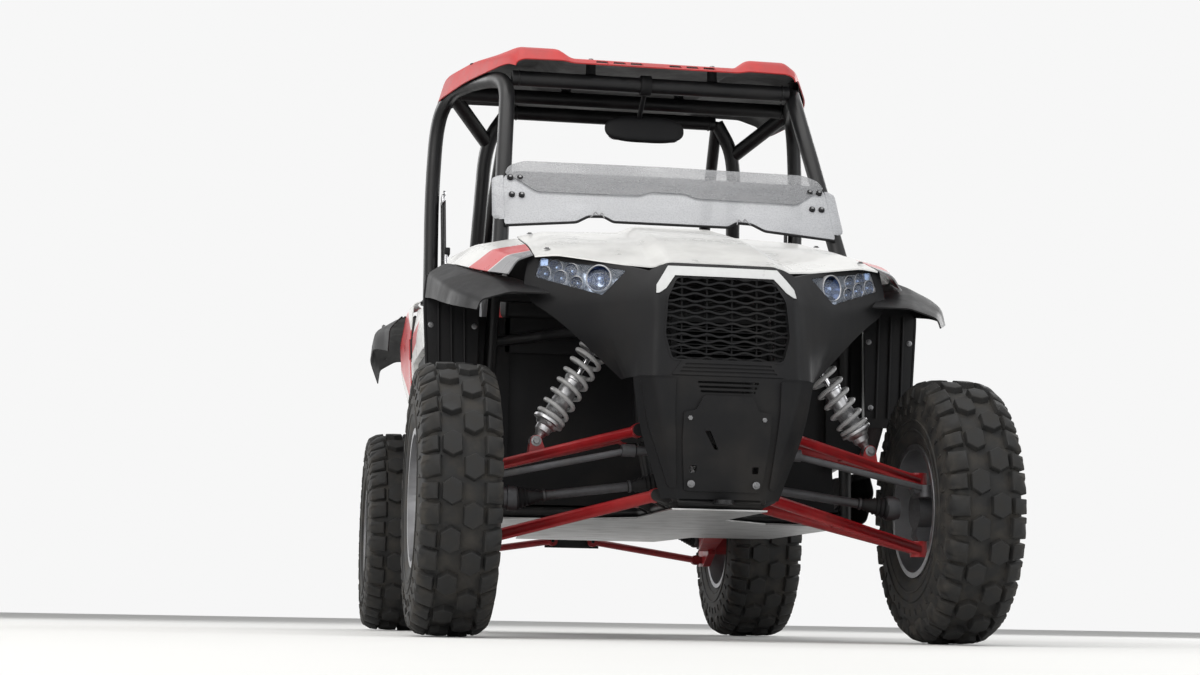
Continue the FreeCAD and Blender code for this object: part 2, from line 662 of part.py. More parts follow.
# Roll cage
bed_rail_top = bed_rail[0][2] + rail_r
stay_foot = (442.0, 1240.0)
cage_side = [(535.0, -672.0, 1080.0), (528.0, -690.0, 1112.0), (468.0, -290.0, 1768.0), (545.0, -20.0, 1818.0), (602.0, 250.0, 1846.0),
             (640.0, 335.0, 1760.0), (650.0, 345.0, 1500.0), (645.0, 352.0, 1128.0)]
hoop = [(445.0, 590.0, bed_rail_top), (478.0, 600.0, 1120.0), (452.0, 470.0, 1730.0), (380.0, 440.0, 1836.0)]


def roll_cage():
    """Front pillars, roof rails, middle and rear hoops and their cross bars."""
    left = tube_run(cage_side, cage_r)
    left += tube_run(hoop, cage_r)
    left.append(rod((452, 470, 1730), (602, 250, 1846), cage_r))
    left.append(rod((380, 440, 1836), (stay_foot[0], stay_foot[1], bed_rail_top), cage_r - 4))
    feet = [a_post[1], b_post[1], (hoop[0][0], hoop[0][1], bed_rail_top), stay_foot + (bed_rail_top,)]
    for x, y, z in feet:
        left.append(Part.makeCylinder(foot_r, foot_thick, V(x, y, z + seat_gap)))
    trimmed = fuse(left)
    for x, y, z in feet:
        trimmed = trimmed.cut(block(x - 60, x + 60, y - 60, y + 60, z - 80, z + seat_gap))
    pieces = both(trimmed)
    pieces.append(rod((-468, -290, 1768), (468, -290, 1768), cage_r))
    pieces.append(rod((-602, 250, 1846), (602, 250, 1846), cage_r))
    pieces.append(rod((-380, 440, 1836), (380, 440, 1836), cage_r))
    pieces.append(rod((-472, 571, 1255), (472, 571, 1255), cage_r - 4))
    return fuse(pieces)


# Body panels: each row is a station and its line from the centre plane outwards
hood_rows = [
    (-650, [(0, 1234), (120, 1234), (165, 1214), (400, 1204), (472, 1186)]),
    (-1000, [(0, 1144), (130, 1144), (172, 1124), (420, 1116), (482, 1098)]),
    (-1190, [(0, 1078), (142, 1078), (178, 1056), (430, 1048), (488, 1034)]),
    (-1350, [(0, 1008), (150, 1008), (186, 984), (430, 974), (488, 964)]),
]
hood_plan = [(-500, -650), (500, -650), (500, -1172), (262, -1296), (192, -1318), (152, -1345),
             (-152, -1345), (-192, -1318), (-262, -1296), (-500, -1172)]
cover_rows = [
    (-1172, [(492, 1042), (535, 1026), (560, 985)]),
    (-1000, [(486, 1096), (570, 1076), (612, 1020)]),
    (-700, [(483, 1174), (600, 1150), (672, 1088)]),
    (-465, [(570, 1180), (652, 1148), (696, 1078)]),
]
grille_outline = [(-150, 735), (150, 735), (168, 800), (160, 900), (130, 960), (-130, 960), (-160, 900),
                  (-168, 800)]
lamp_outline = [(254, 984), (319, 914), (485, 979), (469, 1034)]
fascia_rows = [
    (690, [(0, -1440), (196, -1436), (236, -1400), (256, -1340), (262, -1300)]),
    (860, [(0, -1428), (190, -1424), (226, -1390), (330, -1310), (430, -1225)]),
    (925, [(0, -1414), (188, -1410), (222, -1384), (345, -1300), (520, -1165)]),
    (1045, [(0, -1318), (150, -1314), (196, -1300), (300, -1252), (500, -1148)]),
]
bumper_rows = [
    (372, [(0, -1366), (120, -1366), (160, -1346)]),
    (560, [(0, -1426), (170, -1424), (226, -1372)]),
    (690 - seat_gap, [(0, -1442), (198, -1438), (246, -1384)]),
]
roof_rows = [
    (-385, [(0, 1806), (268, 1806), (300, 1812), (430, 1810), (452, 1800), (458, 1786)]),
    (-330, [(0, 1838), (270, 1838), (312, 1868), (432, 1868), (470, 1836), (480, 1806)]),
    (-40, [(0, 1866), (276, 1866), (322, 1908), (480, 1906), (560, 1880), (582, 1812)]),
    (260, [(0, 1892), (280, 1892), (328, 1938), (520, 1936), (622, 1902), (646, 1818)]),
    (600, [(0, 1896), (280, 1896), (328, 1942), (515, 1938), (600, 1900), (620, 1838)]),
    (650, [(0, 1884), (280, 1884), (326, 1912), (510, 1910), (586, 1886), (600, 1846)]),
]


def full_rows(rows):
    return [(at, full_width(half)) for at, half in rows]


def hood():
    sheet = sheet_loft("y", full_rows(hood_rows), panel)
    return sheet.common(prism("z", 900, 1300, hood_plan))


def hood_room():
    """Everything above the hood's underside, which the pieces below it keep clear of."""
    return beyond_loft("y", full_rows(hood_rows), panel + seat_gap, -400)


def behind_fascia(start, depth):
    """The room behind the nose's outer face, from a distance inside it and as deep as given."""
    wires = []
    for z, line in full_rows(fascia_rows):
        front = offset_line(line, -start) if start else line
        back = [(x, y + depth) for x, y in reversed(front)]
        points = [V(x, y, z) for x, y in front + back]
        wires.append(Part.makePolygon(points + points[:1]))
    return Part.makeLoft(wires, True, True)


def grown(outline, distance):
    """A closed outline moved outwards by the distance on every side. Its corners run anticlockwise."""
    closed = [outline[-1]] + list(outline) + [outline[0]]
    return offset_line(closed, distance)[1:-1]


def fascia():
    """The black nose: side wings, lamp openings and the sleeve round the grille."""
    sheet = sheet_loft("z", full_rows(fascia_rows), -panel)
    sleeve = prism("y", -1440, -1388, grown(grille_outline, panel))
    whole = sheet.fuse(sleeve.common(behind_fascia(0, 60)))
    whole = whole.cut(prism("y", -1500, -1300, grille_outline))
    for hole in both(prism("y", -1420, -1100, lamp_outline)):
        whole = whole.cut(hole)
    return whole.cut(hood_room())


def headlight(front, depth):
    """A piece that fills the lamp opening, from a distance inside the nose's face and as deep as given."""
    plug = prism("y", -1420, -1080, grown(lamp_outline, -1.0))
    return plug.common(behind_fascia(front, depth)).cut(hood_room())


def front_fender():
    """A black flare over the front wheel with the upright panel behind the wheel."""
    top = sheet_loft("y", [
        (-1245, [(452, 925), (560, 925), (640, 900), (650, 872)]),
        (-1100, [(520, 985), (610, 985), (706, 950), (716, 905)]),
        (-900, [(590, 1030), (668, 1040), (735, 1010), (742, 950)]),
        (-712, [(640, 1078), (690, 1086), (742, 1052), (748, 980)]),
    ], panel)
    rear = section_loft("z", [
        (640, [(590, -712), (728, -712), (728, -704), (590, -704)]),
        (980, [(585, -716), (748, -716), (748, -706), (585, -706)]),
        (1052, [(600, -716), (742, -716), (742, -706), (600, -706)]),
    ])
    return top.fuse(rear).cut(behind_fascia(-seat_gap, 400))


def grille():
    """Bars across the opening of the nose, on two uprights."""
    bars = []
    for k in range(9):
        z = 748 + k * 25
        bars.append(prism("x", -170, 170, [(-1412, z), (-1398, z), (-1398, z + 9), (-1412, z + 5)]))
    for x in (-110, -37, 37, 110):
        bars.append(block(x - 3, x + 3, -1398.5, -1392, 730, 970))
    return fuse(bars).common(prism("y", -1420, -1380, grown(grille_outline, -seat_gap)))


def row_height(rows, x, y):
    """The height of a rowed surface at a point of its plan."""
    ends = sorted(rows)
    for (y0, line0), (y1, line1) in zip(ends, ends[1:]):
        if y0 <= y <= y1:
            heights = []
            for line in (line0, line1):
                for (x0, z0), (x1, z1) in zip(line, line[1:]):
                    if x0 <= abs(x) <= x1:
                        heights.append(z0 + (z1 - z0) * (abs(x) - x0) / (x1 - x0))
            return heights[0] + (heights[1] - heights[0]) * (y - y0) / (y1 - y0)
    raise ValueError("the point lies outside the rows")


roof_pads = [   # x, y and the height of the tube's top under it
    (200.0, -290.0, 1768.0 + cage_r),
    (545.0, -20.0, 1818.0 + cage_r),
    (200.0, 250.0, 1846.0 + cage_r),
]


def roof():
    """The roof panel with two raised ribs, drooping sides and pads that sit on the cage."""
    pieces = [sheet_loft("y", full_rows(roof_rows), panel)]
    for x, y, tube_top in roof_pads:
        top = row_height(roof_rows, x, y) - 1
        pieces += both(Part.makeCylinder(18, top - tube_top + 10, V(x, y, tube_top - 10)))
    whole = fuse(pieces)
    clear = cage_r + seat_gap
    tubes = both(fuse(tube_run(cage_side[1:6], clear)))
    tubes += [rod((-x, y, z), (x, y, z), clear) for x, y, z in (cage_side[2], cage_side[4])]
    for shape in tubes:
        whole = whole.cut(shape)
    return whole


# Cabin
tunnel_half = 110.0
tunnel_top = 552.0
foot_wall_y = -625.0
rear_wall_y = 455.0
seat_x = 305.0
seat_half = 212.0
cushion_base = 560.0
tub_line = [(0, tunnel_top), (tunnel_half, tunnel_top), (tunnel_half + 24, floor_top_z), (528, floor_top_z),
            (566, 430), (592, 508)]


def cabin_tub():
    """The floor with its tunnel, the foot wall, the wall behind the seats and the seats' pedestals."""
    floor = sheet_loft("y", [(y, full_width(tub_line)) for y in (foot_wall_y, rear_wall_y)], tub_wall)
    wall = [(-490, 900), (-520, floor_top_z - 2), (520, floor_top_z - 2), (490, 900)]
    back = [(-500, 1000), (-520, floor_top_z - 2), (520, floor_top_z - 2), (500, 1000)]
    pieces = [floor, prism("y", foot_wall_y, foot_wall_y + tub_wall, wall),
              prism("y", rear_wall_y - tub_wall, rear_wall_y, back)]
    for sign in (-1, 1):
        x0, x1 = sorted((sign * 165, sign * 445))
        pieces.append(block(x0, x1, -120, 220, floor_top_z - 1, cushion_base - seat_gap))
    whole = fuse(pieces)
    for y in (a_post[0][1], b_post[0][1]):
        for notch in both(block(532, 620, y - 30, y + 30, 380, 620)):
            whole = whole.cut(notch)
    return whole


def cushion(centre):
    """A seat cushion with raised side bolsters."""
    rows = []
    for y, top, drop in ((-215, 648, 20), (-120, 672, 0), (120, 650, 0), (216.7, 634, 0)):
        w = seat_half - (12 if y == -215 else 0)
        outline = [(-w + 18, cushion_base + drop), (w - 18, cushion_base + drop), (w, top - 10), (w - 12, top + 32),
                   (w - 60, top + 30), (w - 92, top), (-w + 92, top), (-w + 60, top + 30), (-w + 12, top + 32),
                   (-w, top - 10)]
        rows.append((y, [(centre + x, z) for x, z in outline]))
    return section_loft("y", rows)


seat_back_rows = [   # height, y of the front face, half width, thickness
    (652, 255, 205, 84),
    (850, 276, 212, 92),
    (1100, 322, 214, 92),
    (1230, 352, 176, 84),
    (1352, 384, 130, 62),
]


def seat_back(centre):
    """A seat back with side bolsters, narrower at the head."""
    rows = []
    for z, front, w, thick in seat_back_rows:
        lead = 38 if z < 1200 else 14
        outline = [(-w, front - lead), (-w + 46, front - lead), (-w + 74, front), (w - 74, front),
                   (w - 46, front - lead), (w, front - lead), (w - 20, front + thick), (-w + 20, front + thick)]
        rows.append((z, [(centre + x, y) for x, y in outline]))
    return section_loft("z", rows)


column_axis = V(0, 0.90, 0.436).normalize()
wheel_centre = V(seat_x, -322, 1086)
wheel_ring_r = 168.0
wheel_grip_r = 14.0
column_r = 9.0


def dash():
    """The dash shell across the cabin, with end caps, the steering column and its cover."""
    back = dash_beam[0] + rail_r + seat_gap
    line = [(back, 1160), (-520, 1172), (-462, 1124), (-450, 1040), (-500, 960), (back, 935)]
    shell = sheet_loft("x", [(x, line) for x in (-500, 500)], tub_wall)
    caps = [prism("x", x, x + 5, line) for x in (-500, 495)]
    start = wheel_centre - column_axis * 150
    cover = Part.makeCylinder(30, 110, start, column_axis)
    shaft = Part.makeCylinder(column_r, 165, start, column_axis)
    whole = fuse([shell] + caps + [cover, shaft])
    return whole


def steering_wheel():
    """A three-spoke wheel on its column: ring, dished spokes and hub."""
    ring = Part.makeTorus(wheel_ring_r, wheel_grip_r)
    hub = Part.makeCylinder(32, 34, V(0, 0, -26))
    pieces = [ring, hub]
    for angle in (0, 90, 180):
        spoke = Part.makeBox(wheel_ring_r - 20, 26, 8, V(18, -13, -8))
        spoke.rotate(V(0, 0, 0), V(0, 0, 1), angle)
        pieces.append(spoke)
    wheel = fuse(pieces)
    wheel = wheel.cut(Part.makeCylinder(column_r + pin_gap, 44, V(0, 0, -27)))
    wheel.rotate(V(0, 0, 0), V(1, 0, 0), -math.degrees(math.acos(column_axis.z)))
    wheel.translate(wheel_centre)
    return wheel


# Sides
door_rows = [   # y, then the closed outline from its inner lower corner
    (-440, [(640, 690), (674, 684), (696, 850), (700, 1000), (686, 1060), (640, 1060)]),
    (-180, [(640, 556), (670, 548), (702, 760), (708, 960), (690, 1036), (640, 1036)]),
    (300, [(640, 530), (668, 524), (700, 740), (708, 980), (690, 1096), (640, 1096)]),
]
recess_outline = [(-330, 800), (120, 690), (230, 700), (230, 900), (-330, 900)]


def door():
    """A half door with a sunk field on its outside and two hinge barrels at its rear edge."""
    body = section_loft("y", door_rows)
    body = body.cut(prism("x", 686, 720, recess_outline))
    body = body.cut(prism("x", 630, 652, grown(recess_outline, 26)))
    for z in hinge_zs:
        body = body.cut(block(hinge_x - 22, hinge_x + 40, hinge_y - 40, hinge_y, z - 36, z + 36))
        barrel = Part.makeCylinder(10, 46, V(hinge_x, hinge_y, z - 23))
        strap = block(hinge_x - 10, hinge_x - 2, hinge_y - 60, hinge_y, z - 20, z + 20)
        body = body.fuse(barrel).fuse(strap)
        body = body.cut(Part.makeCylinder(hinge_pin_r + pin_gap, 60, V(hinge_x, hinge_y, z - 30)))
    return body


rocker_line = [(597.4, 509.6), (640, 506), (654, 452), (630, 362), (606, 349)]
cowl_rows = [
    (-704 + seat_gap, [(664, 1050), (676, 820), (650, 640), (612, 508.9)]),
    (-452, [(676, 1060), (692, 850), (672, 660), (640, 506.3)]),
]
rear_fender_rows = [
    (338, [(678.9, 1127), (704, 1119), (712, 990), (700, 760), (652, 520)]),
    (480, [(679.4, 1138), (706, 1128), (718, 1000), (706, 830), (664, 640)]),
    (640, [(648, 1146), (704, 1126), (724, 1010), (716, 900), (700, 840)]),
]
rear_flare_rows = [
    (640 + seat_gap, [(650, 1120), (728, 1112), (764, 1070), (768, 990)]),
    (820, [(600, 1130), (736, 1124), (804, 1088), (811, 1020)]),
    (1100, [(560, 1110), (726, 1104), (800, 1068), (806, 1004)]),
    (1320, [(540, 1044), (696, 1036), (756, 1000), (762, 946)]),
]


tie_down_r = 5.5
tie_down_holes = [(x, y) for x in (-300.0, 300.0) for y in (700.0, 1150.0)]


def cargo_box():
    """The open box behind the seats, on the frame's cross tubes."""
    z = bed_rail_top + seat_gap
    outer = block(-405, 405, 575, 1275, z, 1062)
    box = outer.cut(block(-400, 400, 580, 1270, z + 5, 1100))
    for x, y in tie_down_holes:
        box = box.cut(Part.makeCylinder(tie_down_r, 10, V(x, y, z - 1)))
    return box


engine_half = 190.0
engine_ys = (484.0, 960.0)
gearbox_half = 96.0


def engine():
    """The engine as one plain block with its gearbox behind it, on the frame's cross tubes."""
    base = rail_z + rail_r + seat_gap
    body = block(-engine_half, engine_half, engine_ys[0], engine_ys[1], base, 800)
    box = block(-gearbox_half, gearbox_half, engine_ys[1] - 5, 1075, base, 520)
    return body.fuse(box)


muffler_r = 68.0
muffler_z = 560 + rail_r + seat_gap + muffler_r


tail_pipe_start = 1130 + muffler_r + 2


def muffler():
    can = rod((-170, 1130, muffler_z), (170, 1130, muffler_z), muffler_r)
    pipe = rod((-60, 1130, muffler_z), (-60, engine_ys[1] + seat_gap, muffler_z), 22)
    collar = rod((100, 1130, muffler_z), (100, tail_pipe_start - seat_gap, muffler_z), 24)
    return fuse([can, pipe, collar])


def tail_pipe():
    """The open tail pipe on the muffler's collar."""
    tail = rod((100, tail_pipe_start, muffler_z), (100, 1262, muffler_z), 24)
    return tail.cut(rod((100, 1215, muffler_z), (100, 1270, muffler_z), 20))


# Windshield: panes that stand against the front of the cage's pillars
pillar_run = (cage_side[2][1] - cage_side[1][1]) / (cage_side[2][2] - cage_side[1][2])
pillar_stand = (cage_r + seat_gap) * math.hypot(1, pillar_run)


def pane_y(z):
    """Where the panes' inner face is at a height."""
    return cage_side[1][1] + (z - cage_side[1][2]) * pillar_run - pillar_stand


def pane_piece(outline, low, high, step):
    """A flat pane of the outline seen from the front, leaning with the pillars."""
    line = [(pane_y(low) - step, low), (pane_y(high) - step, high)]
    slab = sheet_loft("x", [(x, line) for x in (-560, 560)], -pane)
    return slab.common(prism("y", -900, -300, outline))


lower_pane = [(0, 1246), (200, 1244), (212, 1262), (252, 1260), (262, 1240), (512, 1216), (506, 1384),
              (0, 1378)]
upper_pane = [(0, 1352), (60, 1352), (96, 1362), (505, 1374), (488, 1428), (440, 1446), (0, 1450)]


def mirrored_outline(half):
    """A closed outline, anticlockwise, from its left half that starts and ends on the centre plane."""
    right = [(-u, v) for u, v in reversed(half[1:-1])]
    return list(half) + right


def rear_view_mirror():
    """A wide mirror hung from the cage's front cross tube by a clamp and a stem."""
    y, z = cage_side[2][1], cage_side[2][2]
    clamp = Part.makeCylinder(cage_r + 7, 34, V(-37, y, z), V(1, 0, 0))
    head = prism("x", -132, 132, [(-196, 1606), (-170, 1604), (-164, 1690), (-190, 1694)])
    stem = rod((-20, y + 20, z - 20), (-20, -184, 1680), 8)
    whole = fuse([clamp, head, stem])
    return whole.cut(Part.makeCylinder(cage_r + seat_gap, 60, V(-50, y, z), V(1, 0, 0)))


differential_half = nose_rail_x - rail_r - seat_gap


def differential():
    """The front differential as one plain block between the nose rails."""
    return block(-differential_half, differential_half, -1215, -1040, rail_z - 8, 486)


parts = {}


def build():
    front_tyre, rear_tyre = tyre(front_tyre_width), tyre(rear_tyre_width)
    front_rim, rear_rim = rim(front_tyre_width), rim(rear_tyre_width)
    for name, x, y, rubber, metal in (
            ("front_left", front_x, front_y, front_tyre, front_rim),
            ("front_right", -front_x, front_y, front_tyre, front_rim),
            ("rear_left", rear_x, rear_y, rear_tyre, rear_rim),
            ("rear_right", -rear_x, rear_y, rear_tyre, rear_rim)):
        parts["tyre_" + name] = [set_wheel(rubber, x, y)]
        parts["rim_" + name] = [set_wheel(metal, x, y)]
    left_knuckle = knuckle()
    parts["knuckle_left"] = [left_knuckle]
    parts["knuckle_right"] = [mirror_x(left_knuckle)]
    parts["tie_rods"] = [tie_rods()]
    parts["upper_arms"] = both(upper_arm())
    parts["lower_arms"] = both(lower_arm())
    front_shock = shock(shock_low, shock_high, V(0, 1, 0), front_shock_body, front_low_seat, front_high_seat)
    rear_shock = shock(rear_shock_low, rear_shock_high, V(1, 0, 0), rear_shock_body,
                       rear_low_seat, rear_high_seat)
    parts["shock_absorbers"] = both(front_shock) + both(rear_shock)
    parts["coil_springs"] = (both(coil(shock_low, shock_high, front_low_seat + 10, front_high_seat + 8, 8))
                             + both(coil(rear_shock_low, rear_shock_high, rear_low_seat + 10,
                                         rear_high_seat + 8, 10)))
    parts["trailing_arms"] = both(trailing_arm())
    parts["radius_rods"] = [s for bar in radius_rods() for s in both(bar)]
    nose_section, middle_section, rails, crossbars, uprights, bed, towers = frame_sections()
    parts["nose_frame"] = nose_section
    parts["frame"] = middle_section
    parts["rear_frame"] = rails
    parts["rear_crossbars"] = crossbars
    parts["bed_frame"] = bed
    parts["rear_uprights"] = uprights + towers
    parts["skid_plate"] = [skid_plate()]
    parts["roll_cage"] = [roll_cage()]
    parts["hood"] = [hood()]
    cover = sheet_loft("y", cover_rows, panel).cut(rod(cage_side[1], cage_side[2], cage_r + 8))
    parts["side_covers"] = both(cover.cut(behind_fascia(-seat_gap, 60)))
    parts["nose_fascia"] = [fascia()]
    parts["grille"] = [grille()]
    parts["front_fenders"] = both(front_fender())
    parts["bumper"] = [sheet_loft("z", full_rows(bumper_rows), -bumper_thick)]
    parts["roof"] = [roof()]
    parts["headlights"] = both(headlight(panel, 60))
    parts["headlight_lenses"] = both(headlight(0.5, 3))
    parts["radiator"] = [block(-133.6, 133.6, -1322, -1294, 704, 868)]
    parts["differential"] = [differential()]
    front_shaft = drive_shaft((differential_half + seat_gap, front_y, 425), (556, front_y, 374), 34)
    rear_shaft = drive_shaft((gearbox_half + seat_gap, 1040, 430), (carrier_x[0] - 2, rear_y, axle_z), 34)
    parts["drive_shafts"] = both(front_shaft) + both(rear_shaft)
    parts["cabin_tub"] = [cabin_tub()]
    parts["seat_cushions"] = [cushion(x) for x in (-seat_x, seat_x)]
    parts["seat_backs"] = [seat_back(x) for x in (-seat_x, seat_x)]
    parts["dash"] = [dash()]
    parts["steering_wheel"] = [steering_wheel()]
    left_door = door()
    parts["door_left"] = [left_door]
    parts["door_right"] = [mirror_x(left_door)]
    parts["rockers"] = both(sheet_loft("y", [(y, rocker_line) for y in (-596, 404)], panel))
    parts["cowl_sides"] = both(sheet_loft("y", cowl_rows, panel))
    rear_fender = sheet_loft("y", rear_fender_rows, panel)
    for z in hinge_zs:
        rear_fender = rear_fender.cut(block(600, 760, 300, 364, z - 36, z + 36))
    parts["rear_fenders"] = both(rear_fender)
    parts["rear_flares"] = both(sheet_loft("y", rear_flare_rows, panel))
    parts["cargo_box"] = [cargo_box()]
    parts["engine"] = [engine()]
    parts["muffler"] = [muffler()]
    parts["tail_pipe"] = [tail_pipe()]
    parts["tail_lights"] = both(block(320, 396, 1275.3, 1294, 950, 1012))
    parts["windshield_lower"] = [pane_piece(mirrored_outline(lower_pane), 1150, 1500, 0)]
    parts["windshield_upper"] = [pane_piece(mirrored_outline(upper_pane), 1150, 1500, pane * 1.2)]
    parts["mirror"] = [rear_view_mirror()]


build()
os.makedirs("parts", exist_ok=True)
for old in os.listdir("parts"):
    os.remove(os.path.join("parts", old))
for name, solids in parts.items():
    shape = solids[0] if len(solids) == 1 else Part.makeCompound(solids)
    shape.exportStep(f"parts/{name}.step")
    for s in solids:
        if not s.isValid() or s.Volume < 0 or len(s.Solids) != 1:
            print("check", name, s.isValid(), round(s.Volume), len(s.Solids))
print(len(parts), "nodes", sum(len(s) for s in parts.values()), "solids")
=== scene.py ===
"""Looks of a two-seat side by side off-road buggy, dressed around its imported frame.

Metres, the front of the vehicle faces -Y, +X is the driver's side, the floor is at Z = 0.
Tables of rows and outlines are in millimetres and are turned into metres where they are read.
"""
import math

import bmesh
import bpy
import numpy as np
from bpy.props import FloatProperty, FloatVectorProperty, IntProperty, PointerProperty
from bpy.types import Operator, Panel, PropertyGroup
from mathutils import Matrix, Vector


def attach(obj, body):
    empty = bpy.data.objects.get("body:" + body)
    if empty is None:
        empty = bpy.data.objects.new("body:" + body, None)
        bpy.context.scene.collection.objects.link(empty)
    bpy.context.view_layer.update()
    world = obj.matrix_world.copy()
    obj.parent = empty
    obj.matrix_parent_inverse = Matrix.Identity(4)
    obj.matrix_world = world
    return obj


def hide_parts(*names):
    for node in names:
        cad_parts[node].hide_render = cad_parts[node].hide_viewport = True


bl_info = {
    "name": "Side by side buggy",
    "version": (1, 0, 0),
    "blender": (4, 5, 0),
    "location": "View3D > Sidebar > Buggy",
    "description": "Dresses the packed frame of a two-seat off-road buggy",
    "category": "Object",
}

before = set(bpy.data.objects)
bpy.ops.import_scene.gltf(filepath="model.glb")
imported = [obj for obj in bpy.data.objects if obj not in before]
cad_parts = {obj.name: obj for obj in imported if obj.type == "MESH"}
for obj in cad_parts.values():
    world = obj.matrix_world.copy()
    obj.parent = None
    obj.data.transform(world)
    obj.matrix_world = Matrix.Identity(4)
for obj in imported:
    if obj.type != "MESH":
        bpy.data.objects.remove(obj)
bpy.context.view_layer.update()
MM = 0.001
CHASSIS = "chassis"
UP, FRONT, RIGHT = (0, 0, 1), (0, -1, 0), (1, 0, 0)
TYRE_R, AXLE_Y = 368.5, 1143.0


# Settings
def length(name, description, default):
    """A length that a user may change."""
    return FloatProperty(name=name, description=description, default=default, min=0.0, unit="LENGTH")


def colour(name, description, default):
    """A colour that a user may change."""
    return FloatVectorProperty(name=name, description=description, default=default, subtype="COLOR",
                               size=3, min=0.0, max=1.0)


class BuggySizes(PropertyGroup):
    """Sizes of the dressed pieces."""
    panel: length("Panel", "Thickness of the moulded body panels", 0.004)
    crease: length("Crease", "How far a crease across a panel is rounded", 0.014)
    sweep: length("Sweep", "How far a bend along a panel is rounded", 0.07)
    edge: length("Edge", "Bevel on the rim of a panel", 0.0012)
    lug_height: length("Lug height", "How far the tread lugs stand off the casing", 0.018)
    lug_pitches: IntProperty(name="Lug pitches", description="Repeats of the tread round a tyre",
                             default=18, min=8, max=40)
    spring_turns: FloatProperty(name="Spring turns", description="Turns of each coil spring",
                                default=10.5, min=3.0, max=20.0)
    cage_bend: length("Cage bend", "How far the cage tube's bends reach from each corner", 0.11)
    cushion_cap: length("Cushion cap", "Most that a cushion's cover may swell", 0.012)


class BuggyColours(PropertyGroup):
    """Colours of the finishes."""
    white: colour("White", "Moulded white panels", (0.79, 0.79, 0.775))
    red: colour("Red", "Red fields on the side panels", (0.56, 0.045, 0.05))
    grey: colour("Grey", "Grey patches on the side panels", (0.2, 0.2, 0.21))
    black: colour("Black", "Moulded black plastic", (0.0085, 0.0085, 0.0095))
    roof: colour("Roof", "Painted roof panel", (0.5, 0.035, 0.035))
    arm: colour("Arms", "Powder coated suspension arms", (0.36, 0.008, 0.012))
    spring: colour("Springs", "Spring enamel", (0.40, 0.40, 0.40))
    tube: colour("Tubes", "Powder coated tubes", (0.009, 0.009, 0.01))
    rubber: colour("Rubber", "Tyre rubber", (0.013, 0.013, 0.013))
    dust: colour("Dust", "Dry dust", (0.3, 0.26, 0.21))
    cover_red: colour("Seat red", "Red fields of the seat cover", (0.36, 0.012, 0.016))
    cover_grey: colour("Seat grey", "Grey bolsters of the seat cover", (0.28, 0.285, 0.3))


class BuggyStage(PropertyGroup):
    """The camera and the studio."""
    distance: length("Distance", "From the camera to the point it looks at", 6.5)
    azimuth: FloatProperty(name="Azimuth", description="Turn of the view about the vehicle",
                           default=math.radians(-9.4), subtype="ANGLE")
    elevation: FloatProperty(name="Elevation", description="Tilt of the view, below zero looking up",
                             default=math.radians(-7.73), subtype="ANGLE")
    roll: FloatProperty(name="Roll", description="Turn of the camera about its view line",
                        default=math.radians(0.98), subtype="ANGLE")
    lens: FloatProperty(name="Lens", description="Focal length in millimetres on a 36 mm film width",
                        default=62.475, min=10.0)
    target: FloatVectorProperty(name="Target", description="Point the camera looks at", size=3,
                                default=(-0.173, -0.4, 0.925), subtype="TRANSLATION")
    light: FloatProperty(name="Light", description="Strength of every lamp", default=1.0, min=0.0)


# Numpy shapes
def mm(values):
    """Millimetres as an array in metres."""
    return np.asarray(values, float) * MM


COLUMNS = {"x": (0, 1, 2), "y": (1, 0, 2), "z": (2, 0, 1)}


def unit(v):
    """Vectors divided by their length."""
    return v / np.maximum(np.linalg.norm(v, axis=-1, keepdims=True), 1e-12)


def placed(axis, at, flat):
    """Points from a station on an axis and two coordinates across it."""
    flat = np.asarray(flat, float)
    made = np.empty(flat.shape[:-1] + (3,))
    station, first, second = COLUMNS[axis]
    made[..., station] = at
    made[..., first] = flat[..., 0]
    made[..., second] = flat[..., 1]
    return made


def row_net(axis, rows, full=True):
    """The corner net of a rowed panel in metres. Each row is a station and its line from the centre plane out."""
    stations = np.array([at for at, _ in rows], float)
    net = placed(axis, stations[:, None], np.array([line for _, line in rows], float)) * MM
    if full:
        inner = net[:, 1:] if net[0, 0, 0] == 0 else net
        net = np.concatenate([inner[:, ::-1] * (-1, 1, 1), net], axis=1)
    return net


def soften(net, reach, steps=5):
    """Rounds each inner corner of polylines on axis 0: a quadratic curve whose ends lie reach from the corner."""
    before, corner, after = net[:-2], net[1:-1], net[2:]
    ends = []
    for other in (before, after):
        run = other - corner
        share = np.minimum(0.46, reach / np.maximum(np.linalg.norm(run, axis=-1, keepdims=True), 1e-9))
        ends.append(corner + run * share)
    t = np.linspace(0, 1, steps).reshape((1, steps) + (1,) * (net.ndim - 1))
    curve = (1 - t) ** 2 * ends[0][:, None] + 2 * t * (1 - t) * corner[:, None] + t ** 2 * ends[1][:, None]
    return np.concatenate([net[:1], curve.reshape((-1,) + net.shape[1:]), net[-1:]])


def fill(net, steps):
    """Adds points evenly to each run of polylines on axis 0."""
    t = (np.arange(steps) / steps).reshape((1, steps) + (1,) * (net.ndim - 1))
    body = net[:-1, None] + (net[1:] - net[:-1])[:, None] * t
    return np.concatenate([body.reshape((-1,) + net.shape[1:]), net[-1:]])


def across(work, net, *values):
    """Runs a polyline function on the other axis of a net."""
    return work(net.swapaxes(0, 1), *values).swapaxes(0, 1)


def swept_panel(axis, rows, sizes, full=True, thick_runs=2):
    """A panel's surface: bilinear patches between the rows' corners, with both ways of crease rounded."""
    net = row_net(axis, rows, full)
    net = soften(net, sizes.sweep, 7) if len(rows) > 2 else net
    net = across(soften, net, sizes.crease, 5)
    return across(fill, fill(net, thick_runs), thick_runs)


def rounded(outline, reach, steps=5):
    """A closed outline with each corner turned into a quadratic curve."""
    closed = np.concatenate([outline[-1:], outline, outline[:1]])
    return soften(np.asarray(closed, float), reach, steps)[1:-1]


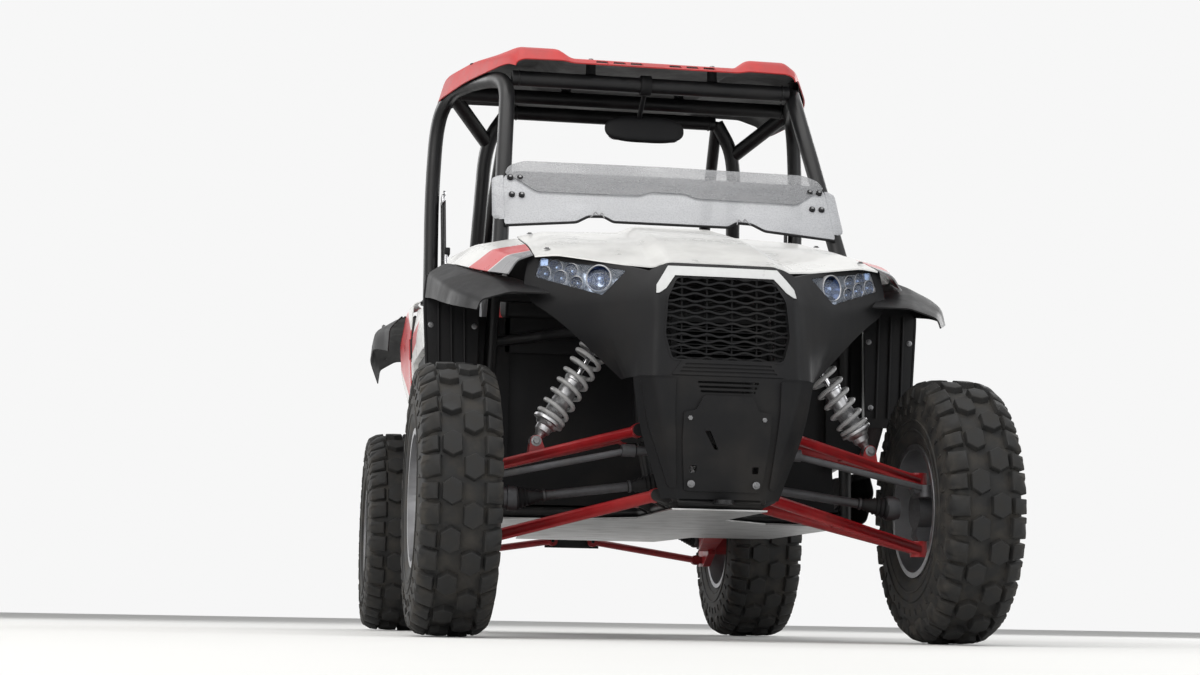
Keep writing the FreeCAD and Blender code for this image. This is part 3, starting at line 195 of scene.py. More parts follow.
def outset(outline, distance):
    """A closed anticlockwise outline moved outwards by a distance."""
    points = np.asarray(outline, float)
    ahead = unit(np.roll(points, -1, 0) - points)
    normal = np.stack([ahead[:, 1], -ahead[:, 0]], -1)
    back = np.roll(normal, 1, 0)
    share = 1 + (normal * back).sum(-1, keepdims=True)
    return points + distance * (normal + back) / share


def tube(path, radius, sides=16, ref=None):
    """Rings of a round tube: a circle carried along the path, square to it, its axes set by one fixed direction."""
    path = np.asarray(path, float)
    ahead = unit(np.gradient(path, axis=0))
    if ref is None:
        ref = np.eye(3)[np.abs(ahead).max(0).argmin()]
    side = unit(np.cross(ahead, ref))
    up = np.cross(side, ahead)
    angle = np.linspace(0, 2 * np.pi, sides, endpoint=False)[None, :, None]
    radius = np.broadcast_to(radius, len(path))[:, None, None]
    return path[:, None] + radius * (np.cos(angle) * side[:, None] + np.sin(angle) * up[:, None])


def turned(profile, start, axis, sides=40):
    """Rings of a turned body: each profile point is a distance along the axis and a radius about it."""
    profile = np.asarray(profile, float)
    axis = unit(np.asarray(axis, float))
    ref = np.eye(3)[np.abs(axis).argmin()]
    side = unit(np.cross(axis, ref))
    up = np.cross(axis, side)
    angle = np.linspace(0, 2 * np.pi, sides, endpoint=False)[None, :, None]
    ring = np.cos(angle) * side + np.sin(angle) * up
    return np.asarray(start, float) + profile[:, None, :1] * axis + profile[:, None, 1:] * ring


def slab(outline, axis, start, end):
    """The two rings of a straight prism: a closed outline carried along an axis."""
    return np.stack([placed(axis, start, outline), placed(axis, end, outline)])


class Form:
    """Collects the grids of one piece and makes its mesh."""

    def __init__(self):
        self.points, self.faces, self.marks, self.count = [], [], [], 0

    def grid(self, points, wrap=True, caps=True, mark=0):
        """Adds quads between rows of points. wrap closes each row, caps close two ends that don't meet."""
        rows, columns = points.shape[:2]
        i, j = np.meshgrid(np.arange(rows - 1), np.arange(columns if wrap else columns - 1), indexing="ij")
        following = (j + 1) % columns
        quads = np.stack([i * columns + j, (i + 1) * columns + j,
                          (i + 1) * columns + following, i * columns + following], -1).reshape(-1, 4)
        self.faces += (quads + self.count).tolist()
        self.marks += [mark] * len(quads)
        if wrap and caps and not np.allclose(points[0], points[-1]):
            first = np.arange(columns) + self.count
            last = first[::-1] + (rows - 1) * columns
            self.faces += [first.tolist(), last.tolist()]
            self.marks += [mark] * 2
        self.points.append(points.reshape(-1, 3))
        self.count += rows * columns
        return self

    def both_sides(self):
        """Adds the mirrored partner of everything so far."""
        points = np.concatenate(self.points) * (-1, 1, 1)
        self.faces += [[c + self.count for c in reversed(face)] for face in self.faces]
        self.marks += self.marks
        self.points.append(points)
        self.count *= 2
        return self

    def bricks(self, rows, mark=0):
        """Adds a block from each row of brick's values."""
        for row in rows:
            self.grid(brick(*row), mark=mark)
        return self

    def lathe(self, profile, start, axis, sides=40, mark=0):
        """Adds a turned body whose profile and start are in mm."""
        return self.grid(turned(mm(profile), mm(start), axis, sides), mark=mark)

    def rod(self, path, reach, radius, sides=16, mark=0):
        """Adds a round tube along a path in mm whose corners are rounded by reach."""
        return self.grid(tube(bent(path, reach), radius * MM, sides), mark=mark)

    def mesh(self, name):
        made = bpy.data.meshes.new(name)
        made.from_pydata(np.concatenate(self.points).tolist(), [], self.faces)
        made.polygons.foreach_set("material_index", self.marks)
        made.update()
        return made


def as_object(name, mesh):
    made = bpy.data.objects.new(name, mesh)
    bpy.context.scene.collection.objects.link(made)
    return made


def tidy_mesh(mesh, merge=1e-5, normals=True, flat=0.0):
    """Merges doubles, joins flat faces and turns the faces of closed forms outwards."""
    work = bmesh.new()
    work.from_mesh(mesh)
    bmesh.ops.remove_doubles(work, verts=work.verts, dist=merge)
    bmesh.ops.dissolve_degenerate(work, edges=work.edges, dist=merge)
    if flat:
        bmesh.ops.dissolve_limit(work, angle_limit=flat, verts=work.verts, edges=work.edges)
    if normals:
        bmesh.ops.recalc_face_normals(work, faces=work.faces)
    work.to_mesh(mesh)
    work.free()


def solid(name, form):
    """An object from a form of closed grids."""
    mesh = form.mesh(name)
    tidy_mesh(mesh)
    return as_object(name, mesh)


def baked(obj):
    """Turns an object's live modifiers into its mesh."""
    graph = bpy.context.evaluated_depsgraph_get()
    mesh = bpy.data.meshes.new_from_object(obj.evaluated_get(graph))
    obj.modifiers.clear()
    obj.data = mesh
    return obj


def carve(obj, forms, operation="DIFFERENCE"):
    """Cuts closed forms out of an object, or keeps what lies in them."""
    for form in forms:
        cutter = solid("cutter", form)
        step = obj.modifiers.new("cut", "BOOLEAN")
        step.operation = operation
        step.solver = "EXACT"
        step.object = cutter
        bpy.context.view_layer.update()
        baked(obj)
        bpy.data.objects.remove(cutter)
    return obj


def read_rows(source, key):
    """An array with one triple for each vertex, normal or face."""
    values = np.zeros(len(source) * 3)
    source.foreach_get(key, values)
    return values.reshape(-1, 3)


def shell(name, axis, rows, sizes, outward, full=True, shift=(0, 0, 0), thick=None, lining=()):
    """A rowed panel with a wall behind it. Its face looks outward, and lining names its outer and inner finish."""
    mesh = Form().grid(swept_panel(axis, rows, sizes, full) + shift, wrap=False).mesh(name)
    if (read_rows(mesh.polygons, "normal") @ np.asarray(outward, float)).sum() < 0:
        mesh.flip_normals()
    for key in lining:
        mesh.materials.append(PAINT[key])
    made = as_object(name, mesh)
    wall = made.modifiers.new("wall", "SOLIDIFY")
    wall.thickness, wall.offset, wall.use_even_offset = thick or sizes.panel, -1, True
    wall.material_offset = 1 if lining else 0
    return baked(made)


def joined(name, objects):
    """One object from several, their meshes added together."""
    work = bmesh.new()
    for obj in objects:
        work.from_mesh(obj.data)
    mesh = bpy.data.meshes.new(name)
    work.to_mesh(mesh)
    work.free()
    for obj in objects:
        bpy.data.objects.remove(obj)
    return as_object(name, mesh)


def mirrored_copy(obj):
    """The partner of a piece on the other side."""
    mesh = obj.data.copy()
    mesh.transform(Matrix.Scale(-1, 4, (1, 0, 0)))
    mesh.flip_normals()
    return as_object(obj.name + "_partner", mesh)


def both(name, obj):
    """A piece and its partner in one object."""
    return joined(name, [obj, mirrored_copy(obj)])


def settle(obj, finishes, slot, body=CHASSIS, stands_for=(), bevel=0.0, segments=2, angle=32.0, levels=0):
    """Gives a piece its finishes, its smooth shading and soft edges, and sets it on its body."""
    for key in [finishes] if isinstance(finishes, str) else finishes:
        obj.data.materials.append(PAINT[key])
    obj.data.polygons.foreach_set("use_smooth", [True] * len(obj.data.polygons))
    obj.data.set_sharp_from_angle(angle=math.radians(angle))
    if levels:
        smooth = obj.modifiers.new("smooth", "SUBSURF")
        smooth.levels = smooth.render_levels = levels
    if bevel:
        soft = obj.modifiers.new("edges", "BEVEL")
        soft.width = bevel
        soft.segments = segments
        soft.limit_method = "ANGLE"
        soft.angle_limit = math.radians(angle)
        soft.harden_normals = True
        soft.use_clamp_overlap = True
    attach(obj, body)
    if stands_for:
        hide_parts(*([stands_for] if isinstance(stands_for, str) else stands_for))
    return obj


def piece(name, form, finishes, slot, **settings):
    """A piece from a form of closed grids."""
    return settle(solid(name, form), finishes, slot, **settings)


def dressed(node, name, finish, slot, body=CHASSIS, bevel=0.0012, angle=30.0):
    """A copy of a rigid solid with merged corners and softened edges, which stands for it."""
    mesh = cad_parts[node].data.copy()
    mesh.materials.clear()
    tidy_mesh(mesh, merge=2e-5, normals=False, flat=math.radians(0.6))
    return settle(as_object(name, mesh), finish, slot, body, node, bevel, 2, angle)


def hex_bolts(form, points, directions, radius, height, mark=0):
    """Adds hexagon heads with round washers, all as one array: each ring is a circle about its bolt's line."""
    points = np.asarray(points, float).reshape(-1, 3)
    ahead = unit(np.broadcast_to(np.asarray(directions, float), points.shape))
    ref = np.where(np.abs(ahead[:, 2:]) > 0.9, [[1.0, 0, 0]], [[0, 0, 1.0]])
    side = unit(np.cross(ahead, ref))
    up = np.cross(ahead, side)
    for sides, profile in ((12, [(-0.3, 1.55), (0.12, 1.55), (0.16, 1.45)]),
                           (6, [(0.1, 1.0), (0.9, 1.0), (1.0, 0.86)])):
        angle = np.linspace(0, 2 * np.pi, sides, endpoint=False)[None, None, :, None]
        ring = np.cos(angle) * side[:, None, None] + np.sin(angle) * up[:, None, None]
        steps = np.array(profile)
        rings = (points[:, None, None] + steps[None, :, :1, None] * height * ahead[:, None, None]
                 + steps[None, :, 1:, None] * radius * ring)
        for one in rings:
            form.grid(one, mark=mark)
    return form


def bolt_set(name, spots, directions, radius, height, mirrored=True):
    """A piece of hexagon bolts, with its partner on the other side."""
    bolts = hex_bolts(Form(), spots, directions, radius, height)
    piece(name, bolts.both_sides() if mirrored else bolts, "bolt", "machined_steel")


# Shader work
class Wire:
    """A shader socket that can be added, multiplied and the like. Each operator adds a Math node."""

    def __init__(self, bench, socket):
        self.bench, self.socket = bench, socket

    def __add__(self, other):
        return self.bench.maths("ADD", self, other)

    def __sub__(self, other):
        return self.bench.maths("SUBTRACT", self, other)

    def __rsub__(self, other):
        return self.bench.maths("SUBTRACT", other, self)

    def __mul__(self, other):
        return self.bench.maths("MULTIPLY", self, other)

    __radd__ = __add__
    __rmul__ = __mul__


def rgba(values):
    return (*values[:3], 1.0)


class Bench:
    """One material with the few calls that add nodes to it."""

    def __init__(self, name, **constants):
        self.material = bpy.data.materials.new(name)
        self.material.use_nodes = True
        self.tree = self.material.node_tree
        self.shader = self.tree.nodes["Principled BSDF"]
        for key, value in constants.items():
            self.shader.inputs[key.replace("_", " ").title().replace("Ior", "IOR")].default_value = value
        self.at = self.add("TexCoord", output="Object")
        self.normal = None

    def add(self, kind, settings=(), inputs=(), output=0):
        """Any node: its settings are set first, then the values or links of its sockets."""
        node = self.tree.nodes.new("ShaderNode" + kind)
        for key, value in dict(settings).items():
            setattr(node, key, value)
        for key, value in dict(inputs).items():
            self.feed(node.inputs[key], value)
        return Wire(self, node.outputs[output])

    def feed(self, socket, value):
        if isinstance(value, Wire):
            self.tree.links.new(value.socket, socket)
        else:
            socket.default_value = value

    def maths(self, operation, *values):
        return self.add("Math", {"operation": operation}, dict(enumerate(values)))

    def step(self, value, low, high, start=0.0, end=1.0):
        """From start to end, smoothly, as the value goes from low to high."""
        names = ("Value", "From Min", "From Max", "To Min", "To Max")
        return self.add("MapRange", {"interpolation_type": "SMOOTHSTEP"},
                        dict(zip(names, (value, low, high, start, end))))

    def mix(self, share, low, high):
        """A colour between two colours."""
        return self.add("Mix", {"data_type": "RGBA"}, {0: share, 6: low, 7: high}, 2)

    def noise(self, scale, detail=3.0, stretch=None):
        """Cloudy noise from 0 to 1. stretch scales it along the axes."""
        at = self.at
        if stretch:
            at = self.add("Mapping", inputs={"Vector": self.at, "Scale": stretch})
        return self.add("TexNoise", inputs={"Vector": at, "Scale": scale, "Detail": detail})

    def axes(self):
        """The three object coordinates, as wires."""
        node = self.add("SeparateXYZ", inputs={0: self.at}).socket.node
        return [Wire(self, out) for out in node.outputs]

    def bump(self, height, distance, strength=1.0):
        """Lays a relief over what is there already."""
        inputs = {"Height": height, "Distance": distance, "Strength": strength}
        if self.normal:
            inputs["Normal"] = self.normal
        self.normal = self.add("Bump", inputs=inputs)

    def done(self, **sockets):
        """Feeds the shader's sockets and gives the material back."""
        if self.normal:
            sockets["normal"] = self.normal
        for key, value in sockets.items():
            self.feed(self.shader.inputs[key.replace("_", " ").title()], value)
        return self.material


def moulded(name, tint, colours, rough=0.5, grain=900.0, depth=0.00006, dust=0.1, streak=0.15, **constants):
    """A plastic or painted surface: fine grain, faint streaks, uneven gloss and dust that thickens lower down."""
    bench = Bench(name, **constants)
    clouds = bench.noise(7.0, 5.0)
    streaks = bench.noise(38.0, 4.0, (1.0, 1.0, 0.12))
    height = bench.axes()[2]
    shade = bench.step(clouds + (streaks - 0.5) * 0.7, 0.3, 0.75)
    dark = tuple(c * (1 - streak) for c in tint)
    colour_now = bench.mix(shade, rgba(dark), rgba(tint))
    dusty = bench.step(clouds, 0.42, 0.8) * bench.step(height, 1.2, 0.1, 0.25, 1.0) * dust
    colour_now = bench.mix(dusty, colour_now, rgba(colours.dust))
    bench.bump(bench.noise(grain, 2.0), depth)
    return bench.done(base_color=colour_now,
                      roughness=bench.step(clouds + streaks * 0.4, 0.35, 1.0, rough - 0.08, rough + 0.16))


def side_panels(colours):
    """White panels with a red field behind a slanting edge and a grey patch at the front corner."""
    bench = Bench("striped_panel", coat_weight=0.35, coat_roughness=0.12, specular_ior_level=0.45)
    x, y, z = bench.axes()
    wear = bench.noise(9.0, 5.0)
    scratch = bench.noise(60.0, 3.0, (0.3, 1.0, 4.0))
    front = bench.step(y, -0.46, -0.462)
    slant = z + y * 0.9
    grey = front * bench.step(slant, 0.074, 0.07)
    red = front * bench.step(slant, 0.076, 0.08) * bench.step(slant, 0.262, 0.258)
    door = bench.step(y, -0.44, -0.438) * bench.step(y, 0.302, 0.3)
    line = z + y * 0.1
    red = red + door * bench.step(line, 0.962, 0.966) * bench.step(line, 1.04, 1.036) * bench.step(y, 0.1, 0.102)
    blade = z - y * 0.5
    red = red + bench.step(y, 0.33, 0.335) * bench.step(blade, 0.86, 0.855) * bench.step(blade, 0.60, 0.605)
    body = bench.mix(bench.step(wear + (scratch - 0.5) * 0.4, 0.3, 0.8), rgba([c * 0.9 for c in colours.white]),
                     rgba(colours.white))
    body = bench.mix(bench.maths("MINIMUM", red, 1.0), body, rgba(colours.red))
    body = bench.mix(grey, body, rgba(colours.grey))
    inside = door * bench.step(bench.maths("ABSOLUTE", x), 0.672, 0.668)
    body = bench.mix(inside, body, rgba(colours.black))
    bench.bump(scratch, 0.00008)
    return bench.done(base_color=body, roughness=bench.step(wear, 0.3, 0.8, 0.24, 0.42))


def haze(name, haze_and_glare_veil, grey):
    """Hazy polycarbonate: a milky film with wiped arcs and dust, clear enough to see the cage through it; its pale grey
    and its opacity are partly real haze and dust and partly painted sun glare.
    """
    bench = Bench(name, base_color=(grey, grey * 1.02, grey * 1.07, 1.0), specular_ior_level=0.5, coat_weight=0.3,
                  coat_roughness=0.08, ior=1.58)
    wiped = bench.noise(5.0, 4.0, (1.0, 1.0, 2.5))
    specks = bench.noise(240.0, 2.0)
    # Opacity of the milky film: real haze and dust, with painted sun glare on them
    alpha = bench.step(wiped + (specks - 0.5) * 0.5, 0.25, 0.8, haze_and_glare_veil - 0.1, haze_and_glare_veil + 0.16)
    return bench.done(alpha=alpha, roughness=bench.step(specks, 0.3, 0.8, 0.22, 0.45))


def tyre_rubber(colours):
    """Black rubber, paler and dustier down between the lugs, with a fine mould grain."""
    bench = Bench("tyre_rubber", specular_ior_level=0.35)
    y, z = bench.axes()[1:]
    along, above = bench.maths("ABSOLUTE", y) - AXLE_Y * MM, z - TYRE_R * MM
    radius = bench.maths("SQRT", along * along + above * above)
    clouds = bench.noise(24.0, 5.0)
    deep = bench.step(radius, 0.362, 0.345, 0.1, 0.34)
    dusty = bench.step(clouds, 0.35, 0.75) * deep
    body = bench.mix(dusty * 0.35, rgba(colours.rubber), rgba(colours.dust))
    bench.bump(bench.noise(420.0, 3.0), 0.00025)
    return bench.done(base_color=body, roughness=bench.step(clouds, 0.2, 0.8, 0.62, 0.85))


EVEN = (1.0, 1.0, 1.0)


def metal(name, tint, rough, colours, brushed=(1.0, 1.0, 14.0), dust=0.06, metallic=1.0):
    """Bare or plated metal with drawn marks, stains and a little dust."""
    bench = Bench(name, metallic=metallic)
    marks = bench.noise(90.0, 3.0, brushed)
    stains = bench.noise(12.0, 5.0)
    body = bench.mix(bench.step(stains, 0.35, 0.8), rgba(tint), rgba([c * 0.72 for c in tint]))
    body = bench.mix(bench.step(stains, 0.5, 0.85) * dust, body, rgba(colours.dust))
    bench.bump(marks, 0.00003)
    return bench.done(base_color=body,
                      roughness=bench.step(marks + stains * 0.4, 0.3, 1.1, rough - 0.07, rough + 0.14))


def seat_cover(colours):
    """Grained seat vinyl over foam: red middle fields, grey edges and black bolsters, pebbled, creased and rubbed."""
    bench = Bench("seat_cover", sheen_weight=0.15, specular_ior_level=0.4)
    x = bench.axes()[0]
    off = bench.maths("ABSOLUTE", bench.maths("ABSOLUTE", x) - 0.305)
    rubbed = bench.noise(8.0, 4.0)
    pebbles = bench.add("TexVoronoi", {"feature": "SMOOTH_F1"}, {"Vector": bench.at, "Scale": 500.0})
    creases = bench.noise(26.0, 5.0, (1.0, 1.0, 0.5))
    red = bench.step(off, 0.126, 0.124)
    grey = bench.step(off, 0.166, 0.168) * bench.step(off, 0.190, 0.188)
    body = bench.mix(red, rgba((0.02, 0.02, 0.022)), rgba(colours.cover_red))
    body = bench.mix(grey, body, rgba(colours.cover_grey))
    body = bench.mix(bench.step(rubbed, 0.3, 0.75, 0.25, 0.0), body, rgba((0.01, 0.009, 0.009)))
    bench.bump(pebbles, 0.0002)
    bench.bump(creases, 0.0016)
    return bench.done(base_color=body, roughness=bench.step(rubbed, 0.3, 0.8, 0.52, 0.72))


PAINT = {}


def mix_finishes(colours):
    """Every finish of the vehicle, by name."""
    PAINT.update(
        frame=moulded("frame_coat", colours.tube, colours, 0.36, 300.0, 0.00005, 0.06, specular_ior_level=0.35),
        black=moulded("black_plastic", colours.black, colours, 0.5, 1100.0, 0.00012, 0.05, specular_ior_level=0.2),
        trim=moulded("trim_rubber", (0.01, 0.01, 0.011), colours, 0.6, 700.0, 0.0001, 0.04, specular_ior_level=0.25),
        white=moulded("white_panel", colours.white, colours, 0.3, 160.0, 0.00002, 0.05, 0.07, coat_weight=0.4,
                      coat_roughness=0.1),
        brow=moulded("brow_panel", (0.62, 0.63, 0.63), colours, 0.3, 160.0, 0.00002, 0.05, 0.1),
        striped=side_panels(colours),
        roof=moulded("roof_paint", colours.roof, colours, 0.46, 200.0, 0.00003, 0.05, 0.2, coat_weight=0.12,
                     coat_roughness=0.3, specular_ior_level=0.3),
        # Black lining for the roof's lower face: painted shade where the roof lies in shadow
        underside=moulded("roof_underside", (0.014, 0.014, 0.015), colours, 0.5, 500.0, 0.00006, 0.04),
        arm=moulded("arm_coat", colours.arm, colours, 0.36, 260.0, 0.00006, 0.10, 0.3),
        spring=moulded("spring_enamel", colours.spring, colours, 0.32, 260.0, 0.00004, 0.12),
        # The panes' milky films are haze and dust with painted sun glare; the lower pane's is paler and thicker
        haze=haze("window_haze", 0.82, 0.43),
        haze_top=haze("window_haze_upper", 0.52, 0.26),
        rubber=tyre_rubber(colours),
        alloy=metal("wheel_alloy", (0.34, 0.34, 0.35), 0.38, colours),
        steel=metal("machined_steel", (0.42, 0.42, 0.43), 0.34, colours),
        bright=metal("polished_shaft", (0.7, 0.7, 0.72), 0.14, colours, dust=0.0),
        cast=metal("cast_part", (0.085, 0.085, 0.09), 0.55, colours, EVEN, 0.12, 0.7),
        damper=metal("damper_casting", (0.5, 0.5, 0.51), 0.36, colours, EVEN, 0.08),
        aluminium=metal("bare_aluminium", (0.52, 0.52, 0.52), 0.36, colours, (10.0, 1.0, 1.0), 0.12),
        muffler=metal("muffler_steel", (0.33, 0.3, 0.28), 0.42, colours),
        chrome=metal("lamp_chrome", (0.36, 0.42, 0.52), 0.18, colours, EVEN, 0.0),
        bowl=metal("lamp_bowl", (0.035, 0.055, 0.12), 0.1, colours, EVEN, 0.0),
        led=metal("lamp_tile", (0.4, 0.55, 0.85), 0.25, colours, EVEN, 0.0, 0.5),
        core=metal("radiator_fins", (0.05, 0.05, 0.052), 0.5, colours, dust=0.1),
        bolt=metal("bolt_zinc", (0.2, 0.2, 0.205), 0.36, colours),
        grip=moulded("grip_rubber", (0.02, 0.02, 0.021), colours, 0.58, 1400.0, 0.0002, 0.03),
        seat=seat_cover(colours),
    )
    lens = Bench("lamp_lens", base_color=(0.66, 0.74, 0.88, 1.0), roughness=0.03, ior=1.49, coat_weight=1.0,
                 coat_roughness=0.02)
    PAINT["lens"] = lens.done(alpha=lens.step(lens.noise(30.0), 0.3, 0.9, 0.06, 0.12))
    red_lens = Bench("red_lens", base_color=(0.42, 0.008, 0.01, 1.0), coat_weight=1.0, coat_roughness=0.05)
    ribs = red_lens.add("TexWave", {"bands_direction": "Z"}, {"Vector": red_lens.at, "Scale": 90.0})
    red_lens.bump(ribs, 0.0008)
    PAINT["red_lens"] = red_lens.done(roughness=red_lens.step(red_lens.noise(40.0), 0.3, 0.8, 0.12, 0.25))
    glass = Bench("mirror_glass", base_color=(0.8, 0.82, 0.84, 1.0), metallic=1.0)
    PAINT["dial"] = moulded("dial_face", (0.01, 0.01, 0.011), colours, 0.3, 600.0, 0.00001, 0.02)
    PAINT["mirror"] = glass.done(roughness=glass.step(glass.noise(60.0), 0.3, 0.9, 0.02, 0.09))
    webbing = Bench("belt_webbing", base_color=(0.025, 0.025, 0.027, 1.0), sheen_weight=0.2)
    twill = webbing.add("TexWave", {"bands_direction": "DIAGONAL"}, {"Vector": webbing.at, "Scale": 500.0})
    webbing.bump(twill, 0.0004)
    PAINT["webbing"] = webbing.done(roughness=webbing.step(twill, 0.0, 1.0, 0.6, 0.8))


# The nose
hood_rows = [
    (-650, [(0, 1234), (120, 1234), (165, 1214), (400, 1204), (472, 1186)]),
    (-1000, [(0, 1144), (130, 1144), (172, 1124), (420, 1116), (482, 1098)]),
    (-1190, [(0, 1078), (142, 1078), (178, 1056), (430, 1048), (488, 1034)]),
    (-1350, [(0, 1008), (150, 1008), (186, 984), (430, 974), (488, 964)]),
]
hood_plan = [(-500, -650), (-500, -1172), (-262, -1296), (-192, -1318), (-152, -1345),
             (152, -1345), (192, -1318), (262, -1296), (500, -1172), (500, -650)]
cover_rows = [
    (-1172, [(492, 1042), (535, 1026), (560, 985)]),
    (-1000, [(486, 1096), (570, 1076), (612, 1020)]),
    (-700, [(483, 1174), (600, 1150), (672, 1088)]),
    (-465, [(570, 1180), (652, 1148), (696, 1078)]),
]
fascia_rows = [
    (690, [(0, -1440), (196, -1436), (236, -1400), (256, -1340), (262, -1300)]),
    (860, [(0, -1428), (190, -1424), (226, -1390), (330, -1310), (430, -1225)]),
    (925, [(0, -1414), (188, -1410), (222, -1384), (345, -1300), (520, -1165)]),
    (1045, [(0, -1318), (150, -1314), (196, -1300), (300, -1252), (500, -1148)]),
]
grille_outline = [(-150, 735), (150, 735), (168, 800), (160, 900), (130, 960), (-130, 960), (-160, 900),
                  (-168, 800)]
brow_outline = [(-191, 912), (-183, 912), (-164, 926), (-135, 966), (135, 966), (164, 926), (183, 912), (191, 912),
                (188, 936), (150, 995), (-150, 995), (-188, 936)]
lamp_outline = [(254, 984), (319, 914), (485, 979), (469, 1034)]
bumper_rows = [
    (372, [(0, -1366), (120, -1366), (160, -1346)]),
    (560, [(0, -1426), (170, -1424), (226, -1372)]),
    (689.7, [(0, -1442), (198, -1438), (246, -1384)]),
]
flare_rows = [
    (-1245, [(452, 925), (560, 925), (640, 900), (650, 872)]),
    (-1100, [(520, 985), (610, 985), (706, 950), (716, 905)]),
    (-900, [(590, 1030), (668, 1040), (735, 1010), (742, 950)]),
    (-712, [(640, 1078), (690, 1086), (742, 1052), (748, 980)]),
]
SEAM = 0.0003
GRILLE_BARS, GRILLE_PITCH, GRILLE_WAVE = 15, 0.0155, 0.068


def nose_room(sizes, start, depth):
    """The closed room behind the nose's face: the face moved back by start, and again by depth."""
    face = swept_panel("z", fascia_rows, sizes, thick_runs=1)
    near, far = face + (0, start, 0), face + (0, start + depth, 0)
    return Form().grid(np.concatenate([near, far[:, ::-1]], axis=1))


def hood_room(sizes, below):
    """Everything above a distance under the hood's surface."""
    top = swept_panel("y", hood_rows, sizes, thick_runs=1)
    low, high = top - (0, 0, below), top + (0, 0, 0.4)
    return Form().grid(np.concatenate([low, high[:, ::-1]], axis=1))


def face_point(x, z):
    """The nose's face at a place seen from the front: straight between the rows, then between their lines."""
    rows = np.array([at for at, _ in fascia_rows], float)
    depths = [np.interp(x, *np.array(line, float).T) for _, line in fascia_rows]
    below = np.clip(np.searchsorted(rows, z) - 1, 0, len(rows) - 2)
    share = (z - rows[below]) / (rows[below + 1] - rows[below])
    return mm([x, depths[below] * (1 - share) + depths[below + 1] * share, z])


def build_hood(sizes):
    """The hood with its raised centre, cut to its plan, with two screws near each side."""
    top = shell("hood_shell", "y", hood_rows, sizes, UP)
    plan = Form().grid(slab(rounded(mm(hood_plan), 0.012), "z", 0.9, 1.3))
    carve(top, [plan], "INTERSECT")
    settle(top, "white", "white_panel", stands_for="hood", bevel=sizes.edge)
    bolt_set("hood_screws", [(0.448, -1.14, 1.0648), (0.44, -0.70, 1.187)], (0, -0.25, 1), 0.006, 0.004)


def build_side_covers(sizes):
    """The panels beside the hood, cut clear of the pillars and the nose."""
    cover = shell("side_covers_shell", "y", cover_rows, sizes, UP, full=False)
    pillar = Form().grid(tube(mm([(528, -690, 1112), (468, -290, 1768)]), 0.033))
    carve(cover, [pillar, nose_room(sizes, -SEAM, 0.06)])
    settle(both("side_cover_pair", cover), "striped", "red_white_panel", stands_for="side_covers", bevel=sizes.edge)


def build_nose(sizes):
    """The black nose with its lamp openings, the sleeve round the grille and the pale brow over it."""
    skin = shell("nose_shell", "z", fascia_rows, sizes, FRONT)
    mouth = rounded(mm(grille_outline), 0.012)
    hole = Form().grid(slab(mouth, "y", -1.5, -1.3))
    lamps = prism_form(lamp_outline, "y", -1420, -1100, 8, 5).both_sides()
    carve(skin, [hole, lamps, hood_room(sizes, sizes.panel + SEAM)])
    sleeve = solid("sleeve", Form().grid(slab(outset(mouth, 0.005), "y", -1.44, -1.385)))
    carve(sleeve, [hole])
    carve(sleeve, [nose_room(sizes, -0.001, 0.06)], "INTERSECT")
    settle(joined("nose_skin", [skin, sleeve]), "black", "black_plastic", stands_for="nose_fascia",
           bevel=sizes.edge)
    brow = shell("brow", "z", fascia_rows, sizes, FRONT, shift=(0, -0.0028, 0), thick=0.0026)
    carve(brow, [prism_form(brow_outline, "y", -1500, -1300)], "INTERSECT")
    settle(brow, "brow", "white_panel", bevel=0.0008)
    lip = shell("nose_lip", "z", fascia_rows, sizes, FRONT, shift=(0, -0.0032, 0), thick=0.003)
    field = [(-152, 692.5), (152, 692.5), (124, 732), (-124, 732)]
    carve(lip, [prism_form(field, "y", -1500, -1300, 4)], "INTERSECT")
    carve(lip, [prism_form([(-w, z), (w, z), (w - 3, z + 5), (3 - w, z + 5)], "y", -1500, -1300, 2)
                for w, z in ((132, 699), (125, 709), (118, 719))])
    settle(lip, "black", "black_plastic", bevel=0.0006)


def build_grille(sizes):
    """Wavy bars across the mouth on thin uprights: each bar is a flat section carried along a sine line."""
    bars, uprights = Form(), Form()
    x = np.linspace(-0.17, 0.17, 69)
    section = np.array([(-0.007, -0.0026), (0.006, -0.0009), (0.006, 0.0021), (-0.007, 0.0026)])
    for row in range(GRILLE_BARS):
        wave = 0.0034 * np.sin(2 * np.pi * x / GRILLE_WAVE + math.pi * (row % 2))
        ring = np.empty((len(x), len(section), 3))
        ring[..., 0] = x[:, None]
        ring[..., 1] = -1.401 + section[:, 0]
        ring[..., 2] = 0.741 + row * GRILLE_PITCH + wave[:, None] + section[:, 1]
        bars.grid(ring)
    for x_at in (-119, -51, 17, 85, 136):
        uprights.grid(slab(box_outline(x_at - 2, x_at + 2, -1397, -1389), "z", 0.732, 0.968))
    mouth = rounded(mm(grille_outline), 0.012)
    inside = Form().grid(slab(outset(mouth, -0.0004), "y", -1.45, -1.3))
    made = [carve(solid("bars", form), [inside], "INTERSECT") for form in (bars, uprights)]
    settle(joined("grille_bars", made), "black", "black_plastic", stands_for="grille")


LAMP_CORNERS = np.array([[(485, 979), (469, 1034)], [(319, 914), (254, 984)]], float)
lamp_bowls = [   # share from the outer to the inner end, share of the height, radius in mm
    (0.20, 0.68, 20), (0.40, 0.64, 20), (0.09, 0.28, 20), (0.32, 0.25, 20), (0.555, 0.19, 18), (0.765, 0.54, 35),
]


def lamp_spot(u, v):
    """A place in the lamp's four-cornered opening, by shares across it and up it."""
    low = LAMP_CORNERS[0, 0] * (1 - u) + LAMP_CORNERS[1, 0] * u
    high = LAMP_CORNERS[0, 1] * (1 - u) + LAMP_CORNERS[1, 1] * u
    return low * (1 - v) + high * v


